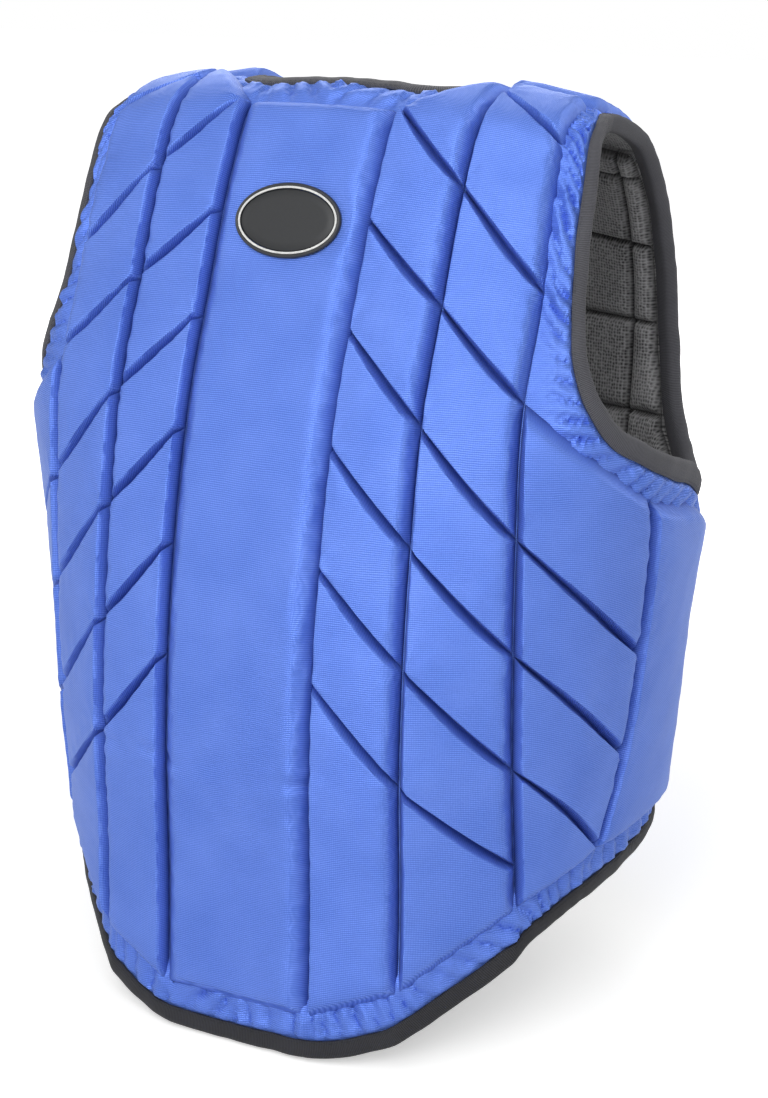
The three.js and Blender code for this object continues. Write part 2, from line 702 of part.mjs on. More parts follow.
// Tongue of a front half that lies under the shoulder of the back, and the patch that it grips
function addShoulders() {
  const patchBottom = liningBottom - layerGap - loopPatchThickness;
  const tongueTop = patchBottom - layerGap;
  const tongueBottom = tongueTop - tongueThickness;
  const patch = [[tongueInner + loopPatchInset, ridgeLine - tongueReach + loopPatchInset],
    [tongueOuter - loopPatchInset, ridgeLine - tongueReach + loopPatchInset],
    [tongueOuter - loopPatchInset, shoulderTop - loopPatchInset],
    [tongueInner + loopPatchInset, shoulderTop - loopPatchInset]];
  addSheetPair('shoulder_loop_patch', hookBlack, patch, patchBottom, patchBottom + loopPatchThickness);
  const [left, right] = [frontCentre - tongueOuter, frontCentre - tongueInner];
  const tongueStart = ridgeLine - tongueOverlap;
  const rampStart = (tongueStart + shoulderTop) / 2;
  const band = (low, high, heightAt) => {
    const outline = [[left, low], [right, low], [right, high], [left, high]];
    return { outline, faces: [outline], heightAt };
  };
  const drop = (v) => (v - rampStart) / (shoulderTop - rampStart) * (paddingTop - tongueTop);
  const blocks = [
    band(tongueStart, rampStart, () => paddingTop),
    band(rampStart, shoulderTop, ([, v]) => paddingTop - drop(v)),
    band(shoulderTop, ridgeLine + tongueReach, () => tongueTop),
  ];
  addPair('shoulder_tongue', hookBlack, blocks, tongueBottom);
}

// Zip parts are placed in a frame with Z up the zip and Y into the vest from the outer cloth
const tapeOuter = clothThickness + tapeClearance;
const teethOuter = tapeOuter + zipTapeThickness / 2 - teethThickness / 2;
const teethInner = teethOuter + teethThickness;
const sliderOuter = teethOuter - runningGap - plateThickness;
const sliderInner = teethInner + runningGap + plateThickness;
const toothTip = toothGap + toothReach;
const sliderTop = zipTop - stopLength - runningGap;
const sliderAt = sliderTop - sliderLength / 2;
const barRoom = tabThickness * Math.SQRT1_2 + layerGap;
const pivotDepth = sliderOuter - barRoom;
const bridgeOuter = pivotDepth - barRoom - bridgeThickness;

// Row of teeth on one side: a comb cut from one outline, side 1 or -1
function teethRow(side, start) {
  const shape = new THREE.Shape();
  const root = toothTip + toothRoot;
  shape.moveTo(side * root, zipBottom + boxLength + layerGap);
  shape.lineTo(side * root, zipTop - stopLength - layerGap);
  shape.lineTo(side * toothTip, zipTop - stopLength - layerGap);
  for (let z = start; z > zipBottom + boxLength + toothPitch; z -= toothPitch) {
    shape.lineTo(side * toothTip, z);
    shape.lineTo(side * toothGap, z);
    shape.lineTo(side * toothGap, z - toothHeight);
    shape.lineTo(side * toothTip, z - toothHeight);
  }
  shape.lineTo(side * toothTip, zipBottom + boxLength + layerGap);
  return slab(shape, teethThickness).rotateX(Math.PI / 2).translate(0, teethInner, 0);
}

function addZip() {
  const zip = new THREE.Group();
  zip.position.y = -frontDepth;
  zip.rotation.x = -Math.atan(frontLean);
  vest.add(zip);
  const root = toothTip + toothRoot;
  [['left', 1, 0], ['right', -1, toothPitch / 2]].forEach(([name, side, shift]) => {
    const spanOf = (inner, outer) => [side * inner, side * outer].sort((a, b) => a - b);
    const tapeDepths = [tapeOuter, tapeOuter + zipTapeThickness];
    const tape = box(spanOf(root + layerGap, root + zipTapeWidth), tapeDepths, [zipBottom, zipTop]);
    addMesh(`zip_tape_${name}`, tape, zipBlack, zip);
    addMesh(`zip_teeth_${name}`, teethRow(side, zipTop - stopLength - toothHeight - shift), zipBlack, zip);
    const stop = box(spanOf(toothGap, root), [teethOuter, teethInner], [zipTop - stopLength, zipTop]);
    addMesh(`zip_top_stop_${name}`, stop, zipBlack, zip);
    const end = box(spanOf(toothGap, root), [teethOuter, teethInner], [zipBottom, zipBottom + boxLength]);
    addMesh(side > 0 ? 'zip_pin' : 'zip_box', end, zipBlack, zip);
  });
  const slider = new THREE.Group();
  slider.position.z = sliderAt;
  zip.add(slider);
  addMesh('zip_slider', geometryFrom(sliderSolid()), zipBlack, slider);
  addMesh('zip_pull_tab', geometryFrom(tabSolid()), zipBlack, slider);
}

function sliderSolid() {
  const half = sliderLength / 2;
  const across = [-sliderHalfWidth, sliderHalfWidth];
  const front = box(across, [sliderOuter, sliderOuter + plateThickness], [-half, half]);
  const back = box(across, [sliderInner - plateThickness, sliderInner], [-half, half]);
  const postDepths = [sliderOuter + postBite, sliderInner - postBite];
  const post = box([-postHalfWidth, postHalfWidth], postDepths, [half - postLength, half]);
  const bridgeSpan = [-bridgeHalfWidth, bridgeHalfWidth];
  const bridgeDepths = [bridgeOuter, sliderOuter + postBite];
  const bridge = box(bridgeSpan, bridgeDepths, [-bridgeHalfLength, bridgeHalfLength]);
  const legInside = bridgeHalfLength - bridgeThickness;
  const archDepths = [bridgeOuter + bridgeThickness, sliderOuter];
  const arch = box([-archHalfWidth, archHalfWidth], archDepths, [-legInside, legInside]);
  const body = solidOf(front).add(solidOf(back)).add(solidOf(post));
  return body.add(solidOf(bridge).subtract(solidOf(arch)));
}

function tabSolid() {
  const bar = tabThickness / 2;
  const depths = [pivotDepth - bar, pivotDepth + bar];
  const plate = box([-tabHalfWidth, tabHalfWidth], depths, [bar - tabLength, bar]);
  const opening = bridgeHalfWidth + 2 * layerGap;
  const window = box([-opening, opening], [depths[0] - 1, depths[1] + 1], [-bar - tabWindow, -bar]);
  return solidOf(plate).subtract(solidOf(window));
}

addBack();
addFronts();
addBadge();
addShoulders();
addZip();

export default vest;
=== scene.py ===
# Looks of a quilted body protector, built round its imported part.
# Every textile piece is cut in a flat pattern and wrapped round the torso, as in the part: u runs
# round the body from the centre back and v runs up it, both in millimetres, and h is the height
# outside the cloth. The wearer's left has positive u.
import json
import math

import bmesh
import bpy
import numpy as np
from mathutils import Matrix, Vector, geometry


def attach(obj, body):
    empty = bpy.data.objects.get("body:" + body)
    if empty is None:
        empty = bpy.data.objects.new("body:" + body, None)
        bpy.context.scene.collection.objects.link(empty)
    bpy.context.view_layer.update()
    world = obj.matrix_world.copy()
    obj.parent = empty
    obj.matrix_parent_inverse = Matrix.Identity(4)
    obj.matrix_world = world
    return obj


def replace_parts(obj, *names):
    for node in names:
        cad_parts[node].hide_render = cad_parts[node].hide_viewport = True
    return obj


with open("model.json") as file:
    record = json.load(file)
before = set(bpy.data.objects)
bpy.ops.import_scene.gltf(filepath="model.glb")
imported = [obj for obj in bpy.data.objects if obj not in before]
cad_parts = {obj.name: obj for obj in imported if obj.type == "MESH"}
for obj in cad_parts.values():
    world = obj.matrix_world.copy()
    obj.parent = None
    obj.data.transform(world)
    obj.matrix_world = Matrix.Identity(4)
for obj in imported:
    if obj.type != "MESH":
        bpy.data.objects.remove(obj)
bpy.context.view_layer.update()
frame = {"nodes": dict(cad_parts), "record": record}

MM = 0.001
SIDES = (("left", 1), ("right", -1))

# Column lines of the pattern, from the centre back to the centre front
SPINE_HALF = 46
LINE_A = SPINE_HALF
LINE_B = LINE_A + 48
LINE_C = LINE_B + 54
LINE_D = LINE_C + 84
LINE_E = LINE_D + 96
FRONT_C = LINE_E + 84
FRONT_B = FRONT_C + 54
FRONT_A = FRONT_B + 48
FRONT_CENTRE = FRONT_A + SPINE_HALF

# Heights of the pattern
TAIL_HEM = -266
SIDE_HEM = -185
FRONT_HEM = -200
ARMHOLE_FLOOR = 36
NECK_FLOOR = 150
TAIL_LINE = TAIL_HEM - 9
RIDGE = 322
SEAM_GAP = 0.3

# Torso sections. A lower one holds its pattern height, height, half width, depth behind, place of the
# side seam, slope of the shoulder and power of the oval. An upper one has its depth in front in place
# of the seam, and ends with how far its front falls.
FRONT_DEPTH = 123.5
FRONT_LEAN = 0.03
FRONT_SEAM = 50
UPPER_SEAMS = (1.29, 1.9)
SHOULDER_SLOPE = 0.00075
COLUMN_X = (46, 93, 142)
LOWER_SECTIONS = [
    (TAIL_LINE, TAIL_LINE, 167, 168, 58, 0.0, 2.5),
    (-171, -171, 167, 162, 56, 0.0, 2.5),
    (-97, -97, 173, 161, 36, 0.0, 2.5),
    (-32, -32, 179, 155, 31, 0.0, 2.5),
    (30, 30, 189, 144, 40, 0.0, 2.5),
    (95, 95, 196, 126, 56, 0.0, 2.8),
    (152, 148, 190, 105, 55, 0.3, 2.8),
]
UPPER_SECTIONS = [
    (221, 213.5, 182, 77, 96, 0.7, 2.8, 6),
    (263, 244.5, 178, 56, 66, 0.9, 2.8, 9),
    (287, 253, 174, 36, 40, 1.0, 2.8, 7),
    (RIDGE, 254.5, 174, 0, 0, 1.0, 2.8, 0),
]
GRID_U = 2
GRID_V = 3
# Share of flat facets in the round torso, at the middle columns and where they turn to the side
FLAT_SHARE = 0.7
TURNING_SHARE = 0.3

# Layers, measured outwards from the outer face of the cloth
CLOTH = 2.0
LAYER_GAP = 0.3
PAD_HEIGHT = 9.0
LINING_TOP = -CLOTH - LAYER_GAP
LINING_BOTTOM = LINING_TOP - CLOTH
PADDING_TOP = LINING_BOTTOM - LAYER_GAP
PADDING_DEPTH = 8.4


# Torso

def column_angles(width, back, front, seam, power):
    """Angles round a section at which the column lines lie."""
    a, b, c = (math.asin((x / width) ** (power / 2)) for x in COLUMN_X)
    d, e = UPPER_SEAMS
    if seam:
        d = math.acos((seam / back) ** (power / 2))
        e = math.pi - math.acos((FRONT_SEAM / front) ** (power / 2))
    side = (e - d) / 3
    behind = [a, b, c, (c + d) / 2, d, d + side, d + 2 * side, e]
    return behind + [(e + math.pi - c) / 2, math.pi - c, math.pi - b, math.pi - a, math.pi]


COLUMN_LINES = [LINE_A, LINE_B, LINE_C, (LINE_C + LINE_D) / 2, LINE_D, LINE_D + 32, LINE_D + 64, LINE_E,
                (LINE_E + FRONT_C) / 2, FRONT_C, FRONT_B, FRONT_A, FRONT_CENTRE]


def section_ring(z, width, back, front, seam, slope, power, round_it, fall=0):
    """Points of one torso section at the given pattern places round it."""
    angles = column_angles(width, back, front, seam, power)
    angle = np.interp(round_it, COLUMN_LINES, angles)
    seen = np.minimum(round_it, FRONT_CENTRE - round_it)
    x = np.interp(seen, (0, LINE_A, LINE_B, LINE_C), (0, *COLUMN_X))
    by_x = np.arcsin((x / width) ** (power / 2))
    angle = np.where(seen <= LINE_C, np.where(round_it > LINE_D, math.pi - by_x, by_x), angle)
    across = width * np.abs(np.sin(angle)) ** (2 / power)
    depth = np.where(np.cos(angle) >= 0, back, -front)
    y = depth * np.abs(np.cos(angle)) ** (2 / power)
    y = np.where(round_it < LINE_A, np.interp(LINE_A, round_it, y), y)
    drop = SHOULDER_SLOPE * slope * across ** 2 + fall * np.clip(-y / max(front, 1), 0, 1)
    return np.stack([across, y, z - drop], axis=-1)


def through(knots, values, at):
    """Smooth curve through values at knots, read at the given places."""
    step = np.diff(knots)[:, None, None]
    slope = np.diff(values, axis=0) / step
    inner = (slope[:-1] * step[1:] + slope[1:] * step[:-1]) / (step[1:] + step[:-1])
    tangent = np.concatenate([slope[:1], inner, slope[-1:]])
    row = np.clip(np.searchsorted(knots, at, side="right") - 1, 0, len(knots) - 2)
    h = step[row]
    t = ((at - knots[row])[:, None, None]) / h
    start = (1 + 2 * t) * (1 - t) ** 2 * values[row] + t * (1 - t) ** 2 * h * tangent[row]
    return start + t * t * (3 - 2 * t) * values[row + 1] + t * t * (t - 1) * h * tangent[row + 1]


def make_torso():
    """Places and outward directions of the torso on a fine grid of the pattern."""
    round_it = np.arange(0, FRONT_CENTRE + 1, GRID_U, dtype=float)
    knots, rings = [], []
    for v, z, width, back, seam, slope, power in LOWER_SECTIONS:
        front = FRONT_DEPTH - FRONT_LEAN * z
        knots.append(v)
        rings.append(section_ring(z, width, back, front, seam, slope, power, round_it))
    for v, z, width, back, front, slope, power, fall in UPPER_SECTIONS:
        knots.append(v)
        rings.append(section_ring(z, width, back, front, 0, slope, power, round_it, fall))
    knots.append(2 * RIDGE - knots[-2])
    rings.append(rings[-2][::-1])
    up = np.arange(TAIL_LINE, RIDGE + 1, GRID_V, dtype=float)
    smooth = through(np.array(knots, float), np.array(rings), up)
    lines = np.round(np.array(COLUMN_LINES) / GRID_U).astype(int)
    facets = np.stack([[np.interp(round_it, round_it[lines], row[lines, axis]) for axis in range(3)]
                       for row in smooth]).transpose(0, 2, 1)
    facets[:, round_it < LINE_A] = smooth[:, round_it < LINE_A]
    share = np.interp(round_it, (LINE_C, COLUMN_LINES[3], LINE_D, LINE_E, COLUMN_LINES[8], FRONT_C),
                      (FLAT_SHARE, TURNING_SHARE, 0, 0, TURNING_SHARE, FLAT_SHARE))[:, None]
    # One more row and column past each border give the outward directions there
    mirror = np.array([-1, 1, 1])
    wide = np.concatenate([smooth[:, 1:2] * mirror, smooth, smooth[:, -2:-1] * mirror], axis=1)
    tall = np.concatenate([wide[:1] * 2 - wide[1:2], wide, wide[-2:-1, ::-1]], axis=0)
    outward = np.cross(tall[2:, 1:-1] - tall[:-2, 1:-1], tall[1:-1, 2:] - tall[1:-1, :-2])
    outward /= np.linalg.norm(outward, axis=2, keepdims=True)
    return smooth * (1 - share) + facets * share, outward


TORSO, OUTWARD = make_torso()


def place(u, v, h):
    """Points in metres for pattern places (u, v) at height h outside the cloth."""
    u, v, h = np.broadcast_arrays(np.asarray(u, float), np.asarray(v, float), np.asarray(h, float))
    over = v > RIDGE
    round_it = np.where(over, FRONT_CENTRE - np.abs(u), np.abs(u))
    up = np.where(over, 2 * RIDGE - v, v)
    column = np.clip(round_it / GRID_U, 0, TORSO.shape[1] - 1.001)
    row = np.clip((up - TAIL_LINE) / GRID_V, 0, TORSO.shape[0] - 1.001)
    i, j = column.astype(int), row.astype(int)
    s, t = (column - i)[..., None], (row - j)[..., None]

    def read(table):
        low = table[j, i] * (1 - s) + table[j, i + 1] * s
        high = table[j + 1, i] * (1 - s) + table[j + 1, i + 1] * s
        return low * (1 - t) + high * t

    point = read(TORSO) + read(OUTWARD) * h[..., None]
    point[..., 0] *= np.where(u < 0, -1, 1)
    return point * MM


# Pattern outlines

def keep_where(outline, measure):
    """The part of an outline where a linear measure isn't negative."""
    kept = []
    for index, p in enumerate(outline):
        q = outline[(index + 1) % len(outline)]
        a, b = measure(p), measure(q)
        if a >= 0:
            kept.append(p)
        if a * b < 0:
            t = a / (a - b)
            kept.append((p[0] + (q[0] - p[0]) * t, p[1] + (q[1] - p[1]) * t))
    return kept


def left_of(a, b):
    """How far a point lies to the left of the line from a to b."""
    length = math.hypot(b[0] - a[0], b[1] - a[1])
    return lambda p: ((b[0] - a[0]) * (p[1] - a[1]) - (b[1] - a[1]) * (p[0] - a[0])) / length


def sides_of(outline):
    return [(a, outline[(index + 1) % len(outline)]) for index, a in enumerate(outline)]


def turned(outline):
    """The outline, anticlockwise."""
    area = sum(a[0] * b[1] - b[0] * a[1] for a, b in sides_of(outline))
    return outline if area > 0 else outline[::-1]


def between(outline, left, right):
    """The part of an outline between two upright lines, less the seam's gap on each side."""
    kept = keep_where(turned(outline), lambda p: p[0] - left - SEAM_GAP)
    return keep_where(kept, lambda p: right - SEAM_GAP - p[0])


def column_blocks(outline, left, right, starts, ends):
    """Blocks of a column, parted by the grooves that cross it."""
    rest, blocks = outline, []
    for start, end in zip(starts, ends):
        below = left_of((right, end), (left, start))
        blocks.append(keep_where(rest, lambda p: -below(p)))
        rest = keep_where(rest, below)
    return [block for block in [*blocks, rest] if len(block) > 2]


def spaced(a, b, step):
    """Points from a up to b, the same ones as from b to a."""
    count = max(1, round(math.hypot(b[0] - a[0], b[1] - a[1]) / step))
    return [(a[0] + (b[0] - a[0]) * k / count, a[1] + (b[1] - a[1]) * k / count) for k in range(count)]


def sampled(outline, step):
    """Points about a step apart, all round a closed outline."""
    return [p for a, b in sides_of(outline) for p in spaced(a, b, step)]


def run_along(path):
    """Length along a path at each of its points."""
    return np.concatenate([[0], np.cumsum(np.linalg.norm(np.diff(path, axis=0), axis=1))])


def left_normals(path):
    """Directions to the left of a path at each of its points."""
    along = np.gradient(path, axis=0)
    along /= np.linalg.norm(along, axis=1, keepdims=True)
    return np.stack([-along[:, 1], along[:, 0]], axis=1)


PATH_STEP = 2.5
PATH_FINENESS = 40


def smooth_path(points):
    """Even samples of a smooth curve through the points of an edge."""
    p = np.array(points, float)
    length = np.linalg.norm(np.diff(p, axis=0), axis=1)
    knots = np.concatenate([[0], np.cumsum(np.sqrt(length))])
    at = np.linspace(0, knots[-1], PATH_FINENESS * len(p))
    fine = through(knots, p[:, None, :], at)[:, 0]
    run = run_along(fine)
    even = np.linspace(0, run[-1], max(2, round(run[-1] / PATH_STEP)) + 1)
    return np.stack([np.interp(even, run, fine[:, axis]) for axis in range(2)], axis=1)


def offset_path(path, distance):
    """A path moved to its left."""
    return path + left_normals(path) * distance


def cut(path, axis, value, keep_below):
    """The stretch of a path on one side of a line of the pattern."""
    side = (value - path[:, axis]) * (1 if keep_below else -1)
    kept = []
    for index in range(len(path)):
        if side[index] >= 0:
            kept.append(path[index])
        if index + 1 < len(path) and side[index] * side[index + 1] < 0:
            t = side[index] / (side[index] - side[index + 1])
            kept.append(path[index] + (path[index + 1] - path[index]) * t)
    return np.array(kept)


HEM_EDGE = smooth_path([(0, TAIL_HEM), (LINE_A - 6, TAIL_HEM + 1), (LINE_A + 18, TAIL_HEM + 4),
                        (LINE_B + 2, TAIL_HEM + 16), (LINE_C - 24, TAIL_HEM + 36),
                        (LINE_C + 12, TAIL_HEM + 62), (LINE_D - 27, SIDE_HEM - 7), (LINE_D + 26, SIDE_HEM),
                        (LINE_E, SIDE_HEM + 5), (FRONT_C, SIDE_HEM + 3), (FRONT_B, FRONT_HEM + 10),
                        (FRONT_A, FRONT_HEM + 3), (FRONT_CENTRE, FRONT_HEM)])
NECK_FRONT = smooth_path([(FRONT_CENTRE, NECK_FLOOR), (FRONT_A + 26, NECK_FLOOR + 3),
                          (FRONT_A + 9, NECK_FLOOR + 14), (FRONT_A - 7, NECK_FLOOR + 38),
                          (FRONT_A - 16, NECK_FLOOR + 71), (FRONT_A - 20, RIDGE - 59),
                          (FRONT_A - 21, RIDGE - 32), (FRONT_A - 22, RIDGE)])
ARMHOLE = smooth_path([(FRONT_C - 6, RIDGE), (FRONT_C - 7, RIDGE - 16), (FRONT_C - 6, RIDGE - 62),
                       (FRONT_C - 7, ARMHOLE_FLOOR + 175), (FRONT_C - 8, ARMHOLE_FLOOR + 122),
                       (FRONT_C - 10, ARMHOLE_FLOOR + 72), (FRONT_C - 20, ARMHOLE_FLOOR + 30),
                       (LINE_E + 38, ARMHOLE_FLOOR + 8), (LINE_E, ARMHOLE_FLOOR),
                       (LINE_E - 22, ARMHOLE_FLOOR + 6), (LINE_D + 50, ARMHOLE_FLOOR + 17),
                       (LINE_D + 30, ARMHOLE_FLOOR + 27), (LINE_D + 4, ARMHOLE_FLOOR + 39),
                       (LINE_D - 20, ARMHOLE_FLOOR + 53), (LINE_C + 50, ARMHOLE_FLOOR + 71),
                       (LINE_C + 42, ARMHOLE_FLOOR + 94), (LINE_C + 38, ARMHOLE_FLOOR + 122),
                       (LINE_C + 29, ARMHOLE_FLOOR + 169), (LINE_C + 26, RIDGE - 72),
                       (LINE_C + 20, RIDGE - 37), (LINE_C + 11, RIDGE - 14), (LINE_C + 6, RIDGE)])
NECK_BACK = smooth_path([(LINE_A + 22, RIDGE), (LINE_A + 19, RIDGE - 9), (LINE_A + 12, RIDGE - 18),
                         (LINE_A, RIDGE - 24), (LINE_A - 20, RIDGE - 23), (0, RIDGE - 22)])
SHOULDER_TOP = RIDGE - SEAM_GAP
BACK_SIDE = LINE_E - SEAM_GAP
FRONT_SIDE = LINE_E + SEAM_GAP
ZIP_SIDE = FRONT_CENTRE - 7
MIRROR = np.array([-1, 1])


# Meshes

WAVES = 7
WAVE_PEAK = 1.6
MERGE_GRID = 50
SHARP_ANGLE = 55


def ripple(u, v, size, seed):
    """Smooth noise of about -1 to 1 over the pattern, with waves about size millimetres long."""
    rng = np.random.default_rng(seed)
    total = np.zeros(np.broadcast(u, v).shape)
    for _ in range(WAVES):
        angle, phase, stretch = rng.uniform(0, math.tau), rng.uniform(0, math.tau), rng.uniform(0.7, 1.4)
        total += np.sin((u * math.cos(angle) + v * math.sin(angle)) * math.tau / (size * stretch) + phase)
    return total / WAVES ** 0.5 / WAVE_PEAK


def wander(run, size, seed):
    """Smooth noise along a single measure."""
    return ripple(run, run * 0, size, seed)


def triangulated(outline, rings, inner):
    """Points and triangles inside a closed outline, with rings of edges and loose points in it."""
    loops = [outline, *rings]
    points = [p for loop in loops for p in loop] + list(inner)
    edges, start = [], 0
    for loop in loops:
        edges += [(start + k, start + (k + 1) % len(loop)) for k in range(len(loop))]
        start += len(loop)
    faces = [list(range(len(outline)))]
    found = geometry.delaunay_2d_cdt([Vector(p) for p in points], edges, faces, 1, 1e-4)
    return np.array([tuple(p) for p in found[0]]), [tuple(face) for face in found[2]]


def merge_key(point):
    """Pattern place of a point to a fiftieth of a millimetre."""
    return round(point[0] * MERGE_GRID), round(point[1] * MERGE_GRID)


def merged(parts):
    """Joins triangulations that share their border points."""
    index, points, faces, sources = {}, [], [], []
    for number, (part_points, part_faces) in enumerate(parts):
        names = []
        for p in part_points:
            key = merge_key(p)
            if key not in index:
                index[key] = len(points)
                points.append(tuple(p))
                sources.append(number)
            names.append(index[key])
        for face in part_faces:
            corners = tuple(names[k] for k in face)
            if len(set(corners)) == 3:
                faces.append(corners)
    return np.array(points), faces, np.array(sources)


def add_mesh(name, points, faces, uv, material, body):
    """A smooth-shaded mesh that rides on a body, with the pattern as its map."""
    mesh = bpy.data.meshes.new(name)
    mesh.from_pydata([tuple(p) for p in points], [], faces)
    layer = mesh.uv_layers.new(name="pattern")
    corner = np.zeros(len(mesh.loops), int)
    mesh.loops.foreach_get("vertex_index", corner)
    layer.data.foreach_set("uv", (np.asarray(uv, float) * MM)[corner].astype(np.float32).ravel())
    work = bmesh.new()
    work.from_mesh(mesh)
    bmesh.ops.recalc_face_normals(work, faces=work.faces)
    for face in work.faces:
        face.smooth = True
    work.to_mesh(mesh)
    work.free()
    mesh.set_sharp_from_angle(angle=math.radians(SHARP_ANGLE))
    mesh.materials.append(material)
    piece = bpy.data.objects.new(name, mesh)
    bpy.context.scene.collection.objects.link(piece)
    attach(piece, body)
    return piece


def tube_faces(rings, count, first=0, closed=False):
    """Four-sided faces between rings of count points, and from the last to the first if closed."""
    faces = []
    for ring in range(rings if closed else rings - 1):
        low, high = first + ring * count, first + (ring + 1) % rings * count
        for k in range(count):
            turn = (k + 1) % count
            faces.append((low + k, low + turn, high + turn, high + k))
    return faces


def shell(name, points, faces, top, bottom, material, body, chart=None):
    """Closed piece over a triangulated part of the pattern, between two heights."""
    count = len(points)
    u, v = points[:, 0], points[:, 1]
    places = np.concatenate([place(u, v, top), place(u, v, bottom)])
    directed = {(a, b) for face in faces for a, b in sides_of(face)}
    border = [(a, b) for a, b in directed if (b, a) not in directed]
    under = [tuple(k + count for k in reversed(face)) for face in faces]
    walls = [(b, a, a + count, b + count) for a, b in sorted(border)]
    chart = points if chart is None else chart
    faces = [*faces, *under, *walls]
    return add_mesh(name, places, faces, np.concatenate([chart, chart]), material, body)


def smooth_min(a, b, reach):
    """The lesser of two heights, rounded where they are within reach of each other."""
    share = np.clip(0.5 + 0.5 * (b - a) / reach, 0, 1)
    return b * (1 - share) + a * share - reach * share * (1 - share)


# Foam blocks

GROOVE_FLOOR = 0.5
# How far in from its side a block reaches its flat top
SPINE_BEVEL = 8.5
GENTLE_BEVEL = 6.4
STEEP_BEVEL = 1.9
BORDER_BEVEL = 7.5
# The front swings about the side seam, so the blocks beside it leave room
SEAM_BEVEL = 12
SEAM_NEAR = 14
# A slanting groove has a narrow upper lip and, under it, a wall that opens like a leaf
LIP_BEVEL = 1.2
LIP_OPENING = 1
LEAF_BEVEL = 1.2
LEAF_OPENING = 2.7
LEAF_SKEW = 0.75
LEAF_POINT = 0.8
LEAF_CURVE = 1.9
# Rounding of a block's edges, and how far its middle stands up
SHARP_EDGE = 1.1
SOFT_EDGE = 3.4
CROWN = 1.1
SIDE_CROWN = 2.5
CROWN_REACH = 14
UNEVEN_SIZE = 13
UNEVEN_WALL = 0.14
UNEVEN_GROOVE = 0.05
# Small folds at the stitched corners, and the broad and fine waves of the cloth
PUCKER_HEIGHT = 0.75
PUCKER_REACH = 9
PUCKER_START = 2.5
PUCKER_FOLDS = 9
BROAD_WAVE, BROAD_SIZE = 0.22, 34
FINE_WAVE, FINE_SIZE = 0.16, 11
# Creases that run across two of the columns
CREASE_LINES = {"spine_pad": -103, "back_inner_pads_left": -101}
CREASE_DEPTH = 1.1
CREASE_WIDTH = 2.6
CREASE_DRIFT = 3
CREASE_DRIFT_SIZE = 60
CREASE_SHOULDER = 2.4
# Insets of the rings of edges in a block's mesh, close together where its walls turn
RING_STEPS = (0.7, 1.3, 1.9, 2.5, 3.1, 3.7, 4.4, 5.2, 6.1, 7.4, 9, 11.5, 14.5, 19, 24, 30, 37)
BLOCK_STEP = 3.2
COARSE_INSET = 12


def on_border(point, border):
    """Whether a point lies on one of the sides of a column's own outline."""
    for a, b in sides_of(border):
        along = (point[0] - a[0]) * (b[0] - a[0]) + (point[1] - a[1]) * (b[1] - a[1])
        inside = 0 < along < (b[0] - a[0]) ** 2 + (b[1] - a[1]) ** 2
        if inside and abs(left_of(a, b)(point)) < 0.05:
            return True
    return False


def is_upright(a, b):
    """Whether a side runs up the body rather than across it."""
    return abs(b[0] - a[0]) < 0.25 * math.hypot(b[0] - a[0], b[1] - a[1])


def bevel(points, a, b, border):
    """How far in from one side the cloth reaches the flat top, the power of its rise and how far its
    edge is rounded. A block is steep towards the spine and gentle towards the side, and a groove
    opens like a leaf."""
    if is_upright(a, b):
        if abs(a[0]) < LINE_A and abs(b[0]) < LINE_A:
            return SPINE_BEVEL, 1, SOFT_EDGE
        if abs(a[0] - LINE_E) < SEAM_NEAR and abs(b[0] - LINE_E) < SEAM_NEAR:
            return SEAM_BEVEL, 1, SOFT_EDGE
        if (b[1] > a[1]) == (a[0] < LINE_E):
            return GENTLE_BEVEL, 1, SOFT_EDGE
        return STEEP_BEVEL, 1, SHARP_EDGE
    if on_border(((a[0] + b[0]) / 2, (a[1] + b[1]) / 2), border):
        return BORDER_BEVEL, 1, SOFT_EDGE
    run = (points[:, 0] - a[0]) * (b[0] - a[0]) + (points[:, 1] - a[1]) * (b[1] - a[1])
    run = np.clip(run / ((b[0] - a[0]) ** 2 + (b[1] - a[1]) ** 2), 0, 1)
    if b[0] > a[0]:
        return LIP_BEVEL + LIP_OPENING * run, 1, SHARP_EDGE
    leaf = np.sin(math.pi * run ** LEAF_SKEW) ** LEAF_POINT
    return LEAF_BEVEL + LEAF_OPENING * leaf, LEAF_CURVE, SHARP_EDGE


def block_height(points, outline, border, crown, seed):
    """Height of the cloth over one foam block, and whether its nearest wall is an upright one."""
    height = np.full(len(points), PAD_HEIGHT)
    nearest = np.full(len(points), 1e3)
    lowest = np.full(len(points), 1e3)
    upright = np.zeros(len(points))
    uneven = ripple(points[:, 0], points[:, 1], UNEVEN_SIZE, seed)
    for a, b in sides_of(outline):
        across = np.maximum(left_of(a, b)(points.T), 0)
        width, curve, rounding = bevel(points, a, b, border)
        width = width * (1 + (UNEVEN_WALL if is_upright(a, b) else UNEVEN_GROOVE) * uneven)
        wall = GROOVE_FLOOR + (PAD_HEIGHT - GROOVE_FLOOR) * (across / width) ** curve
        height = smooth_min(height, wall, rounding)
        nearest = np.minimum(nearest, across)
        upright = np.where(wall < lowest, float(is_upright(a, b)), upright)
        lowest = np.minimum(lowest, wall)
    return height + crown * (1 - np.exp(-nearest / CROWN_REACH)), upright


def pucker(points, outline, seed):
    """Small folds that run out from the stitched corners of a block."""
    folds = np.zeros(len(points))
    rng = np.random.default_rng(seed)
    for corner in outline:
        away = points - np.array(corner)
        distance = np.linalg.norm(away, axis=1)
        turn = np.arctan2(away[:, 1], away[:, 0])
        phase = rng.uniform(0, math.tau)
        window = np.exp(-distance / PUCKER_REACH) * np.clip(distance / PUCKER_START, 0, 1)
        folds += window * np.sin(PUCKER_FOLDS * turn + phase)
    return PUCKER_HEIGHT * folds


